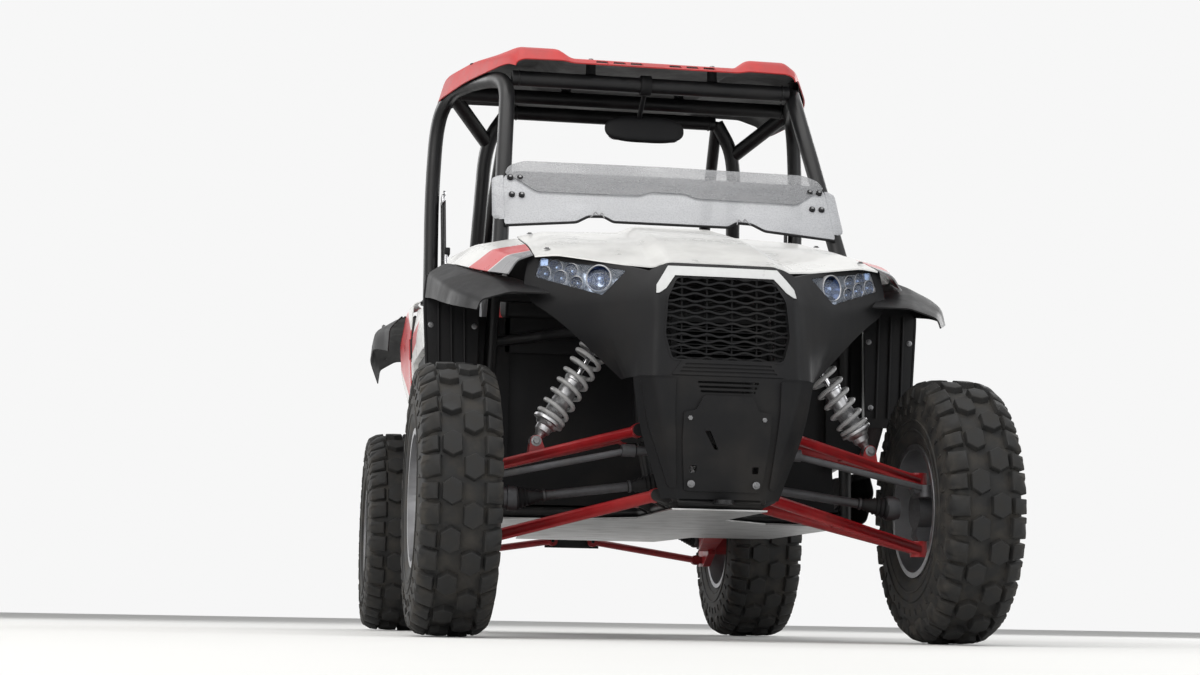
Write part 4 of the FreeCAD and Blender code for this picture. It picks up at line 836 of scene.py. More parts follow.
def build_headlights(sizes):
    """Bright housings with round reflectors behind clear lenses that follow the nose's face."""
    opening = rounded(mm(lamp_outline), 0.008)
    plug = Form().grid(slab(outset(opening, -0.001), "y", -1.42, -1.08))
    across_face = unit(face_point(469, 1000) - face_point(300, 1000))
    outwards = unit(np.cross(across_face, (0, 0, 1)))
    outwards = outwards * -np.sign(outwards[1])
    back = shell("lamp_tray", "z", fascia_rows, sizes, FRONT, shift=(0, 0.034, 0), thick=0.004)
    carve(back, [plug], "INTERSECT")
    wall = solid("wall", plug)
    carve(wall, [Form().grid(slab(outset(opening, -0.0035), "y", -1.5, -1.0))])
    carve(wall, [nose_room(sizes, 0.004, 0.032)], "INTERSECT")
    bowls = Form()
    for u, v, radius in lamp_bowls:
        spot = face_point(*lamp_spot(u, v)) - outwards * 0.03
        r = radius * MM
        t = np.linspace(0.12, 1, 9)
        cup = [(0.022 * s * s, r * s * 0.94) for s in t]
        bowls.grid(turned([(0.0, r * 0.1)] + cup + [(0.0222, r * 0.97), (0.0, r * 0.97)], spot, outwards, 28), mark=2)
        rim = [(0.0, r * 0.96), (0.0225, r * 0.95), (0.0245, r), (0.0235, r * 1.07), (0.0, r * 1.07), (0.0, r * 0.96)]
        bowls.grid(turned(rim, spot, outwards, 28), mark=3)
        bowls.grid(turned([(0.0, r * 0.2), (0.012, r * 0.2), (0.016, r * 0.12)], spot, outwards, 16), mark=1)
    square = face_point(*lamp_spot(0.045, 0.84)) - outwards * 0.012
    tile = box_outline(-11, 11, -11, 11)
    tile = square + tile[:, :1] * across_face + tile[:, 1:] * np.array(UP)
    bowls.grid(np.stack([tile, tile + outwards * 0.006]), mark=1)
    one = joined("lamp", [back, wall, solid("bowls", bowls)])
    settle(both("lamp_housings", one), ("chrome", "led", "bowl", "steel"), "lamp_chrome", stands_for="headlights")
    glass = shell("lamp_cover", "z", fascia_rows, sizes, FRONT, shift=(0, 0.0008, 0), thick=0.0028)
    carve(glass, [plug], "INTERSECT")
    settle(both("lamp_covers", glass), "lens", "lamp_lens", stands_for="headlight_lenses")


# Small closed shapes
def box_outline(u0, u1, v0, v1, reach=0.0):
    """An anticlockwise rectangle in mm, in metres, its corners rounded where reach is given."""
    corners = mm([(u0, v0), (u1, v0), (u1, v1), (u0, v1)])
    return rounded(corners, reach * MM, 4) if reach else corners


def eased(outline, axis, start, end, edge):
    """A prism whose rims are rolled over: the outline shrinks by a quarter round towards both ends."""
    sign = np.sign(end - start)
    turns = np.linspace(0, np.pi / 2, 4)
    levels = [(edge * (1 - np.sin(t)), -edge * (1 - np.cos(t))) for t in turns[::-1]]
    rings = [placed(axis, start + sign * d, outset(outline, inset)) for d, inset in levels]
    rings += [placed(axis, end - sign * d, outset(outline, inset)) for d, inset in levels[::-1]]
    return np.stack(rings)


def brick(x0, x1, y0, y1, z0, z1, axis="z", reach=8.0, edge=4.0):
    """A block in mm with rounded corners along one axis and rolled rims across it."""
    spans = {"x": (x0, x1), "y": (y0, y1), "z": (z0, z1)}
    across_spans = [spans[name] for name in "xyz" if name != axis]
    start, end = spans[axis]
    return eased(box_outline(*across_spans[0], *across_spans[1], reach), axis, start * MM, end * MM, edge * MM)


def ribbon(path, side, width, thick):
    """A flat strip along a path: its width lies along one fixed direction, its thickness square to both."""
    path = np.asarray(path, float)
    ahead = unit(np.gradient(path, axis=0))
    side = unit(side - (ahead @ np.asarray(side, float))[:, None] * ahead)
    up = np.cross(ahead, side)
    w = np.broadcast_to(width, len(path))[:, None] / 2
    h = np.broadcast_to(thick, len(path))[:, None] / 2
    return np.stack([path + side * w + up * h, path - side * w + up * h,
                     path - side * w - up * h, path + side * w - up * h], 1)


def bent(points, reach, steps=8):
    """A path in mm with rounded corners, in metres."""
    return soften(mm(points), reach * MM, steps)


def band(start, end, inner, outer):
    """A closed flat band for a turned ring: from start to end along the axis, between two radii."""
    return [(start, inner), (end, inner), (end, outer), (start, outer), (start, inner)]


def ring_profile(radius, grip, steps=16):
    """A closed round section for a turned ring: distance along the axis, then distance from it."""
    t = np.linspace(0, 2 * np.pi, steps + 1)
    return np.stack([grip * np.sin(t), radius + grip * np.cos(t)], 1)


def span(start, end):
    """The direction and the distance from one point to another, both in metres."""
    run = (np.asarray(end, float) - np.asarray(start, float)) * MM
    return unit(run), np.linalg.norm(run)


# The body
bumper_centre = [(-104, 392), (104, 392), (118, 520), (118, 596), (84, 602), (66, 640), (-66, 640), (-84, 602),
                 (-118, 596), (-118, 520)]
bumper_wing = [(126, 400), (146, 400), (206, 560), (230, 682), (142, 682), (142, 600)]
roof_rows = [
    (-385, [(0, 1806), (268, 1806), (300, 1812), (430, 1810), (452, 1800), (458, 1786)]),
    (-330, [(0, 1838), (270, 1838), (312, 1868), (432, 1868), (470, 1836), (480, 1806)]),
    (-40, [(0, 1866), (276, 1866), (322, 1908), (480, 1906), (560, 1880), (582, 1812)]),
    (260, [(0, 1892), (280, 1892), (328, 1938), (520, 1936), (622, 1902), (646, 1818)]),
    (600, [(0, 1896), (280, 1896), (328, 1942), (515, 1938), (600, 1900), (620, 1838)]),
    (650, [(0, 1884), (280, 1884), (326, 1912), (510, 1910), (586, 1886), (600, 1846)]),
]
door_rows = [
    (-440, [(640, 690), (674, 684), (696, 850), (700, 1000), (686, 1060), (640, 1060)]),
    (-180, [(640, 556), (670, 548), (702, 760), (708, 960), (690, 1036), (640, 1036)]),
    (300, [(640, 530), (668, 524), (700, 740), (708, 980), (690, 1096), (640, 1096)]),
]
recess_outline = [(-330, 800), (120, 690), (230, 700), (230, 900), (-330, 900)]
hinge_x, hinge_y, hinge_zs = 690, 318, (640, 960)
rocker_line = [(597.4, 509.6), (640, 506), (654, 452), (630, 362), (606, 349)]
cowl_rows = [
    (-703.7, [(664, 1050), (676, 820), (650, 640), (612, 508.9)]),
    (-452, [(676, 1060), (692, 850), (672, 660), (640, 506.3)]),
]
rear_fender_rows = [
    (338, [(678.9, 1127), (704, 1119), (712, 990), (700, 760), (652, 520)]),
    (480, [(679.4, 1138), (706, 1128), (718, 1000), (706, 830), (664, 640)]),
    (640, [(648, 1146), (704, 1126), (724, 1010), (716, 900), (700, 840)]),
]
rear_flare_rows = [
    (640.3, [(650, 1120), (728, 1112), (764, 1070), (768, 990)]),
    (820, [(600, 1130), (736, 1124), (804, 1088), (811, 1020)]),
    (1100, [(560, 1110), (726, 1104), (800, 1068), (806, 1004)]),
    (1320, [(540, 1044), (696, 1036), (756, 1000), (762, 946)]),
]


def prism_form(outline, axis, start, end, reach=0.0, steps=4):
    """A cutter: an outline in mm carried along an axis, its corners rounded where reach is given."""
    points = mm(outline)
    return Form().grid(slab(rounded(points, reach * MM, steps) if reach else points, axis, start * MM, end * MM))


def build_bumper(sizes):
    """The plate under the grille with raised fields, slots and bolts."""
    parts = [shell("bumper_plate", "z", bumper_rows, sizes, FRONT, thick=0.006)]
    for outline, mirrored in ((bumper_centre, False), (bumper_wing, True)):
        field = shell("field", "z", bumper_rows, sizes, FRONT, shift=(0, -0.0075, 0), thick=0.007)
        cutter = prism_form(outline, "y", -1500, -1300, 8)
        carve(field, [cutter.both_sides() if mirrored else cutter], "INTERSECT")
        parts.append(field)
    whole = joined("bumper", parts)
    slots = [prism_form([(-w, z), (w, z), (w, z + 6), (-w, z + 6)], "y", -1500, -1300, 2)
             for z, w in ((648, 74), (660, 78), (672, 82))]
    slots += [prism_form([(x - 9, 440), (x + 9, 440), (x + 9, 458), (x - 9, 458)], "y", -1500, -1300, 3)
              for x in (-84, 84)]
    slots.append(prism_form([(-60, 548), (-44, 548), (-20, 500), (-30, 500)], "y", -1445, -1300))
    carve(whole, slots)
    settle(whole, "black", "black_plastic", stands_for="bumper", bevel=sizes.edge)
    spots = [(0.088, -1.393, 0.41), (0.1, -1.43, 0.58), (0.174, -1.424, 0.66)]
    bolt_set("bumper_bolts", spots, FRONT, 0.0065, 0.006)


def build_front_fenders(sizes):
    """The flares over the front wheels with the mud panels behind them, each with a beaded outer edge."""
    top = shell("flare_top", "y", flare_rows, sizes, (0.3, 0, 1), full=False)
    carve(top, [nose_room(sizes, -SEAM, 0.4)])
    panel = Form()
    outlines = [(640, (590, 728, -712, -704)), (980, (585, 748, -716, -706)), (1052, (600, 742, -716, -706))]
    panel.grid(np.stack([placed("z", z * MM, box_outline(*span_xy, 2)) for z, span_xy in outlines]))
    panel.rod([(728, -709, 642), (748, -712, 980), (742, -712, 1046)], 40, 5.5, 10)
    for x in (622, 660, 698):
        panel.rod([(x, -716, 670), (x + 10, -718.5, 980)], 10, 4, 8)
    one = joined("front_fender", [top, solid("mud_panel", panel)])
    settle(both("front_fender_pair", one), "black", "black_plastic", stands_for="front_fenders", bevel=sizes.edge)
    spots = [(x, -0.7165, z) for x, z in ((0.606, 0.70), (0.712, 0.70), (0.60, 0.90), (0.728, 0.90))]
    bolt_set("fender_bolts", spots, FRONT, 0.0055, 0.005)


def build_lower_sides(sizes):
    """The cowl sides ahead of the doors and the rockers under them."""
    rocker_rows = [(y, rocker_line) for y in (-596, 404)]
    for rows, name, node in ((cowl_rows, "cowl_side_pair", "cowl_sides"), (rocker_rows, "rocker_pair", "rockers")):
        pair = both(name, shell(name, "y", rows, sizes, RIGHT, full=False))
        settle(pair, "black", "black_plastic", stands_for=node, bevel=sizes.edge)
    treads = Form()
    for y in np.arange(-520, 360, 60):
        treads.grid(ribbon(bent([(604, y, 510.2), (636, y, 507.6)], 4), (0, 1, 0), 0.02, 0.003))
    piece("rocker_treads", treads.both_sides(), "trim", "black_plastic")


def build_doors(sizes):
    """The half doors: a lofted body with a sunk field holding a black plate that paints the shade in the concave skin,
    hinge barrels and straps, and a latch.
    """
    net = np.stack([placed("y", y * MM, mm(line)) for y, line in door_rows])
    body = across(rounded, soften(net, 0.09, 7), 0.012, 5)
    door = solid("door_body", Form().grid(body))
    inner = [(y + sy * 22, z + sz * 22) for (y, z), (sy, sz) in
             zip(recess_outline, ((-1, -1), (0, -1), (1, -1), (1, 1), (-1, 1)))]
    cuts = [prism_form(recess_outline, "x", 686, 730, 20), prism_form(inner, "x", 630, 652, 20)]
    for z in hinge_zs:
        cuts.append(prism_form([(278, z - 36), (320, z - 36), (320, z + 36), (278, z + 36)], "x", 668, 740))
    carve(door, cuts)
    fitting = Form()
    field = mm(recess_outline)
    # Black plate in the sunk field (mark 1): painted shade where the door's concave skin lies in shadow
    fitting.grid(eased(outset(rounded(field, 0.02, 4), -0.004), "x", 0.683, 0.6885, 0.001), mark=1)
    for k in range(3):
        line = [(-290 + 36 * k, 812 + 26 * k), (196 - 10 * k, 722 + 46 * k)]
        fitting.grid(tube(mm([(687.5, y, z) for y, z in line]), 0.0042, 8), mark=1)
    for z in hinge_zs:
        barrel = [(0, 5.3), (0, 9.4), (0.6, 10), (45.4, 10), (46, 9.4), (46, 5.3), (0, 5.3)]
        fitting.lathe(barrel, (hinge_x, hinge_y, z - 23), UP, 24, mark=2)
        fitting.grid(brick(hinge_x - 10, hinge_x - 3, 252, 313, z - 20, z + 20, "x", 4, 1.5), mark=2)
        hex_bolts(fitting, [(0.687, 0.266, (z + d) * MM) for d in (-11, 11)], (1, 0, 0), 0.005, 0.004, mark=3)
    fitting.grid(brick(650, 689, -412, -352, 1046, 1062, "z", 6, 3), mark=1)
    fitting.grid(brick(634, 642, -430, -392, 900, 960, "x", 5, 2), mark=3)
    left = joined("door_left_panel", [door, solid("door_fittings", fitting)])
    right = mirrored_copy(left)
    right.name = "door_right_panel"
    for obj, body in ((left, "door_left"), (right, "door_right")):
        settle(obj, ("striped", "black", "frame", "bolt"), "red_white_panel", body, body, sizes.edge)


def build_rear_body(sizes):
    """The rear side panels, the ridged flares over the rear wheels, the filler cap and the tail lights."""
    fender = shell("rear_fender", "y", rear_fender_rows, sizes, RIGHT, full=False)
    carve(fender, [prism_form([(300, z - 36), (364, z - 36), (364, z + 36), (300, z + 36)], "x", 600, 760)
                   for z in hinge_zs])
    settle(both("rear_fender_pair", fender), "striped", "red_white_panel", stands_for="rear_fenders",
           bevel=sizes.edge)
    flare = shell("rear_flare", "y", rear_flare_rows, sizes, (0.5, 0, 1), full=False)
    ribs = Form()
    for share in np.linspace(0.3, 0.9, 5):
        line = [(np.array(row[0]) * (1 - share) + np.array(row[1]) * share) for _, row in rear_flare_rows]
        path = [(x, y, z + 1) for (y, _), (x, z) in zip(rear_flare_rows, line)]
        path[0] = (path[0][0], 648, path[0][2])
        ribs.rod(path, 60, 4.2, 8)
    one = joined("rear_flare", [flare, solid("flare_ribs", ribs)])
    settle(both("rear_flare_pair", one), "black", "black_plastic", stands_for="rear_flares", bevel=sizes.edge)
    spots = [(0.745, 0.70, 1.093), (0.772, 0.86, 1.108), (0.766, 1.06, 1.09), (0.735, 1.26, 1.036)]
    bolt_set("flare_bolts", spots, (0.6, 0, 0.8), 0.0055, 0.005)
    cap = [(0, 27), (6, 27), (8, 30), (20, 30), (25, 26), (27, 18), (28, 0.5)]
    piece("filler_cap", Form().lathe(cap, (692, 410, 1122), (0.1, -0.05, 1), 32), "aluminium", "bare_aluminium")
    lamps = Form().bricks([(322, 394, 1275.8, 1293.5, 952, 1010, "y", 10, 3)])
    lamps.bricks([(316, 400, 1275.3, 1284, 946, 1016, "y", 12, 2)], mark=1)
    piece("tail_lamps", lamps.both_sides(), ("red_lens", "black"), "red_lens", stands_for="tail_lights")


def build_cargo_box(sizes):
    """The open cargo box: one closed run of rounded outlines up the ribbed outside and down the inside."""
    outer = rounded(box_outline(-405, 405, 575, 1275), 0.03, 8)
    outer = fill(np.concatenate([outer, outer[:1]]), 6)[:-1]
    around = np.cumsum(np.linalg.norm(np.roll(outer, -1, 0) - outer, axis=1))
    rib = np.clip(np.cos(2 * np.pi * around / 0.09) * 3, -1, 1)[:, None]
    inward = outset(outer, -1.0) - outer
    low, top = 0.9013, 1.062

    def level(z, inset, ribbed=0.0):
        return placed("z", z, outer + inward * (inset + ribbed * (1 + rib)))

    rings = [level(low, 0.004), level(low + 0.004, 0.0), level(low + 0.012, 0.0),
             level(low + 0.016, 0.0, 0.0016), level(top - 0.030, 0.0, 0.0016), level(top - 0.026, 0.0),
             level(top - 0.003, 0.0), level(top, 0.002), level(top, 0.009), level(top - 0.003, 0.011),
             level(top - 0.026, 0.011), level(low + 0.009, 0.0095), level(low + 0.005, 0.014)]
    tub = solid("cargo_tub", Form().grid(np.stack(rings)))
    carve(tub, [Form().lathe([(0, 5.5), (30, 5.5)], (x, y, low / MM - 10), UP, 20)
                for x in (-300, 300) for y in (700, 1150)])
    settle(tub, "black", "black_plastic", stands_for="cargo_box")
    floor = Form()
    for x in np.linspace(-330, 330, 12):
        floor.grid(eased(box_outline(x - 8, x + 8, 640, 1210, 6), "z", low + 0.0045, low + 0.0085, 0.0015))
    piece("cargo_floor_ribs", floor, "black", "black_plastic")


def build_roof(sizes):
    """The pressed roof panel: painted above, black below as painted shade for the roof's shadowed lower face, with
    slots in its front lip and domed bolts.
    """
    # The lining's second finish, black, is painted shade for the roof's shadowed lower face
    panel = shell("roof_panel", "y", roof_rows, sizes, UP, lining=("roof", "underside"))
    slots = [prism_form([(x, 1812), (x + 42, 1812), (x + 38, 1824), (x + 4, 1824)], "y", -420, -335, 2)
             for x in (-196, -140, -84, 42, 98, 154)]
    carve(panel, slots)
    settle(panel, (), "roof_red", stands_for="roof")
    spots = [(0.2, -0.29, 1.8405), (0.2, 0.25, 1.8912), (0.2, 0.57, 1.8955), (0.24, -0.04, 1.866)]
    bolt_set("roof_bolts", spots, UP, 0.0085, 0.006)
    pads = Form()
    for x, y, low, high in ((200, -290, 1793, 1839), (545, -20, 1843, 1882), (200, 250, 1871, 1888)):
        pads.lathe([(0, 19), (6, 16), (high - low - 10, 16), (high - low - 2, 20)], (x, y, low - 1), UP, 20)
    piece("roof_pads", pads.both_sides(), "trim", "boot_rubber")


lower_pane = [(0, 1246), (178, 1245), (206, 1262), (254, 1260), (292, 1238), (512, 1216), (506, 1390), (470, 1410),
              (0, 1414)]
upper_pane = [(0, 1356), (58, 1356), (86, 1341), (408, 1338), (470, 1382), (505, 1396), (488, 1428), (440, 1446),
              (0, 1450)]
PILLAR = ((-0.690, 1.112), (-0.290, 1.768))
PILLAR_RUN = (PILLAR[1][0] - PILLAR[0][0]) / (PILLAR[1][1] - PILLAR[0][1])
PILLAR_RADIUS, PANE, PANE_END = 0.0253, 0.005, 512.1
LAP = 0.006


def pane_y(z):
    """Where the panes' inner face stands at a height: ahead of the leaning pillars by their radius."""
    return PILLAR[0][0] + (z - PILLAR[0][1]) * PILLAR_RUN - PILLAR_RADIUS * math.hypot(1, PILLAR_RUN)


def on_pane(points, step):
    """Points whose Y is a depth off the pane's inner face, set on the leaning pane."""
    points = np.array(points, float)
    points[..., 1] += pane_y(points[..., 2]) - step
    return points


def full_outline(half):
    """A closed outline in metres from its half that starts and ends on the centre plane."""
    half = mm(half)
    return np.concatenate([half, half[1:-1][::-1] * (-1, 1)])


def build_windshield(sizes):
    """Two hazy panes that lap each other, with rolled rims, bolts with rubber washers, a seal and wire clips."""
    lean = math.hypot(1, PILLAR_RUN)
    for name, half, step, finish in (("lower", lower_pane, 0.0, "haze"), ("upper", upper_pane, LAP, "haze_top")):
        outline = rounded(full_outline(half), 0.016, 5)
        rings = on_pane(eased(outline, "y", 0.0, -PANE * lean, 0.0014), step * lean)
        piece("pane_" + name, Form().grid(rings), finish, "window_haze",
              stands_for="windshield_" + name, angle=60.0)
    section = np.array([(PANE_END, -5.86), (524, -5.86), (545, 7.2), (547, 9.4), (545.5, 12.4), (542.6, 11.8),
                        (522.5, -0.6), (PANE_END, -0.6)])
    rows = []
    for z, share in ((1238, 0.55), (1246, 0.9), (1254, 1.0), (1376, 1.0), (1384, 0.9), (1392, 0.55)):
        reach = PANE_END + (section[:, 0] - PANE_END) * share - (z - 1216) * 6 / 174
        rows.append(placed("z", z * MM, np.stack([reach, section[:, 1]], 1) * MM))
    piece("pane_flaps", Form().grid(on_pane(np.stack(rows), 0.0)).both_sides(), "haze", "window_haze",
          angle=60.0)
    forward = (0.0, -lean, PILLAR_RUN)
    front = -(PANE + LAP) * lean
    bolts, rubber = Form(), Form()
    places = ((0.486, 1.386), (0.456, 1.386), (0.484, 1.326), (0.454, 1.326))
    spots = on_pane([(sx * x, front, z) for x, z in places for sx in (-1, 1)], 0.0)
    hex_bolts(bolts, spots, forward, 0.0046, 0.005)
    for at in spots:
        rubber.grid(turned([(-0.006, 0.0095), (0.0, 0.0095), (0.0014, 0.008)], at, forward, 20))
    half = [(178, 1246), (206, 1263), (254, 1261), (292, 1239), (510, 1217)]
    edge = [(-x, z) for x, z in half[::-1]] + half
    seal = soften(mm([(x, -0.5 * PANE * lean / MM, z) for x, z in edge]), 0.008, 4)
    rubber.grid(tube(on_pane(seal, 0.0), 0.0042, 8, ref=(0, 1, 0)))
    clip = ((206, -9, 1256), (212, -14, 1276), (222, -14, 1262), (232, -14, 1278), (242, -14, 1262),
            (250, -9, 1256))
    for sx in (-1, 1):
        loop = bent([(sx * x, y, z) for x, y, z in clip], 7)
        bolts.grid(tube(on_pane(loop, 0.0), 0.0018, 8))
    piece("pane_bolts", bolts, "bolt", "machined_steel")
    piece("pane_seal", rubber, "trim", "boot_rubber")


def build_mirror(sizes):
    """The wide mirror: a bowed shell with round ends, its glass, and the clamp and stem that carry it."""
    u = np.sin(np.linspace(-np.pi / 2, np.pi / 2, 33))
    share = np.maximum(1 - np.abs(u) ** 3.2, 0.0004)[:, None] ** 0.42
    t = np.linspace(0, 2 * np.pi, 28, endpoint=False)[None, :]
    c, s = np.cos(t), np.sin(t)
    depth = 0.0155 * np.sign(c) * np.abs(c) ** 0.7 * share
    rise = 0.0445 * np.sign(s) * np.abs(s) ** 0.6 * share
    rings = np.empty((len(u), t.size, 3))
    rings[..., 0] = 0.132 * u[:, None]
    rings[..., 1] = -0.1805 + depth + 0.07 * rise + 0.006 * u[:, None] ** 2
    rings[..., 2] = 1.6495 + rise
    form = Form().grid(rings)
    clamp = [(-17, 25.4), (-17, 31.8), (-15, 33), (15, 33), (17, 31.8), (17, 25.4), (-17, 25.4)]
    form.lathe(clamp, (-20, -290, 1768), RIGHT, 32)
    form.rod([(-20, -272, 1744), (-20, -232, 1716), (-20, -184, 1684)], 30, 8, 14)
    piece("mirror_shell", form, "black", "black_plastic", stands_for="mirror")
    glass = eased(rounded(box_outline(-122, 122, 1614, 1686), 0.03, 8), "y", -0.166, -0.1628, 0.001)
    glass[..., 1] += 0.07 * (glass[..., 2] - 1.6495) + 0.4 * glass[..., 0] ** 2
    piece("mirror_glass", Form().grid(glass), "mirror", "mirror_glass")


# The structure
cage_side = [(535, -672, 1080), (528, -690, 1112), (468, -290, 1768), (545, -20, 1818), (602, 250, 1846),
             (640, 335, 1760), (650, 345, 1500), (645, 352, 1128)]
hoop = [(445, 590, 901), (478, 600, 1120), (452, 470, 1730), (380, 440, 1836)]
CAGE_TUBE = 25
cage_feet = [(535, -672, 1078), (645, 352, 1123), (445, 590, 901), (442, 1240, 901)]


def build_cage(sizes):
    """The roll cage: bent tubes, straight cross tubes, weld beads at their ends and bolted feet."""
    tubes = Form()
    reach = sizes.cage_bend / MM
    side = bent(cage_side[1:], reach, 9)
    side = np.concatenate([mm([(535, -672, 1084), (531.5, -682, 1098)]), side])
    for path in (side, bent(hoop, reach, 9)):
        tubes.grid(tube(path, CAGE_TUBE * MM, 24))
    tubes.rod([(452, 470, 1730), (602, 250, 1846)], 0, CAGE_TUBE, 24)
    tubes.rod([(380, 440, 1836), (442, 1240, 904)], 0, 21, 24)
    for x, y, z in cage_feet:
        tubes.lathe([(0.3, 31), (1, 33), (5.5, 33), (6.3, 32)], (x, y, z), UP, 28)
    beads = (((528, -690, 1118), (468, -290, 1768)), ((645, 352, 1132), (650, 345, 1500)),
             ((445, 590, 909), (478, 600, 1120)), ((440, 1215, 933), (380, 440, 1836)))
    for start, other in beads:
        tubes.grid(turned(ring_profile(0.0255, 0.0028, 8), mm(start), span(start, other)[0], 24))
    tubes.both_sides()
    for x, y, z, r in ((455, -290, 1768, CAGE_TUBE), (590, 250, 1846, CAGE_TUBE), (372, 440, 1836, CAGE_TUBE),
                       (472, 571, 1255, 21)):
        tubes.rod([(-x, y, z), (x, y, z)], 0, r, 24)
        for sx in (-1, 1):
            tubes.grid(turned(ring_profile(r * MM, 0.0028, 8), mm((sx * (x - 22), y, z)), RIGHT, 24))
    piece("cage_tubes", tubes, "frame", "painted_frame", stands_for="roll_cage", angle=50.0)
    angle = np.radians([45, 135, 225, 315])
    spots = [np.stack([x + 29 * np.cos(angle), y + 29 * np.sin(angle), np.full(4, z + 6.5)], 1)
             for x, y, z in cage_feet]
    bolt_set("cage_foot_bolts", mm(spots), UP, 0.0035, 0.004)


CARRIED = (   # node, piece, finish, slot, bevel
    ("nose_frame", "frame_nose_section", "frame", "painted_frame", 0.0),
    ("frame", "frame_middle_section", "frame", "painted_frame", 0.0),
    ("rear_frame", "frame_rear_section", "frame", "painted_frame", 0.0),
    ("rear_crossbars", "frame_crossbar_section", "frame", "painted_frame", 0.0),
    ("bed_frame", "frame_bed_section", "frame", "painted_frame", 0.0),
    ("rear_uprights", "frame_upright_section", "frame", "painted_frame", 0.0),
    ("skid_plate", "skid_plate_sheet", "aluminium", "bare_aluminium", 0.0012),
    ("upper_arms", "upper_arm_pair", "arm", "arm_red", 0.0),
    ("lower_arms", "lower_arm_pair", "arm", "arm_red", 0.0),
    ("trailing_arms", "trailing_arm_pair", "arm", "arm_red", 0.0015),
    ("radius_rods", "radius_rod_set", "arm", "arm_red", 0.0),
    ("knuckle_left", "knuckle_left_casting", "cast", "cast_part", 0.0015),
    ("knuckle_right", "knuckle_right_casting", "cast", "cast_part", 0.0015),
    ("tie_rods", "steering_rack_rods", "cast", "machined_steel", 0.0008),
    ("cabin_tub", "cabin_floor", "black", "black_plastic", 0.0015),
)
MOVED_BY = {"knuckle_left": "knuckle_left", "knuckle_right": "knuckle_right", "tie_rods": "rack"}


def build_carried(sizes):
    """The solids whose shapes are right: copies with joined faces, eased edges and their own finishes."""
    for node, name, finish, slot, bevel in CARRIED:
        dressed(node, name, finish, slot, MOVED_BY.get(node, CHASSIS), bevel)
    boots = Form()
    convolutions = [(d, r) for k in range(5) for d, r in ((212 + 7 * k, 13.2), (215.5 + 7 * k, 16.8))]
    profile = [(208, 12.6)] + convolutions + [(247, 13.0), (248, 10.0)]
    boots.lathe(profile, (0, -1243, 505), RIGHT, 24)
    piece("rack_boots", boots.both_sides(), "trim", "boot_rubber", body="rack", angle=60.0)
    treads = Form().bricks((x - 6, x + 6, -560, -150, 392.5, 396.5, "z", 5, 1.5)
                           for x in np.linspace(180, 500, 9))
    piece("floor_treads", treads.both_sides(), "black", "black_plastic")


# Suspension
shock_lines = {   # low eye, high eye, eye axis, spring's lower and upper seat, body length
    "front": ((470, -1143, 530), (262, -1130, 868), (0, 1, 0), 62, 34, 210),
    "rear": ((488, 860, 466), (532, 665, 975), (1, 0, 0), 70, 40, 300),
}


COIL_RADIUS, COIL_WIRE = 0.0385, 0.0064


def coil_line(low, high, low_seat, high_seat, turns, radius, wire):
    """A spring's centre line: a circle that climbs, slowly at both ends and more slowly in the upper third."""
    axis, whole = span(low, high)
    start, end = (low_seat + 10.3) * MM + wire, whole - (high_seat + 8.3) * MM - wire
    t = np.linspace(0, 1, int(turns * 22) + 1)
    pace = 1.0 - 0.45 / (1 + np.exp(-(t - 0.6) * 40))
    pace = pace * np.clip(np.minimum(t, 1 - t) * turns / 0.9, 0.12, 1)
    climb = np.concatenate([[0], np.cumsum((pace[1:] + pace[:-1]) / 2)])
    climb = start + (end - start) * climb / climb[-1]
    side = unit(np.cross(axis, (0, 1, 0) if abs(axis[1]) < 0.8 else (1, 0, 0)))
    other = np.cross(axis, side)
    angle = 2 * np.pi * turns * t[:, None]
    line = mm(low) + climb[:, None] * axis + radius * (np.cos(angle) * side + np.sin(angle) * other)
    return line, axis


def build_springs(sizes):
    """The four coil springs: a round wire wound about each damper."""
    springs = Form()
    for name, extra in (("front", 0.0), ("rear", 2.0)):
        low, high, _, low_seat, high_seat, _ = shock_lines[name]
        line, axis = coil_line(low, high, low_seat, high_seat, sizes.spring_turns + extra, COIL_RADIUS, COIL_WIRE)
        springs.grid(tube(line, COIL_WIRE, 12, ref=axis))
    piece("spring_coils", springs.both_sides(), "spring", "spring_grey", stands_for="coil_springs", angle=70.0)


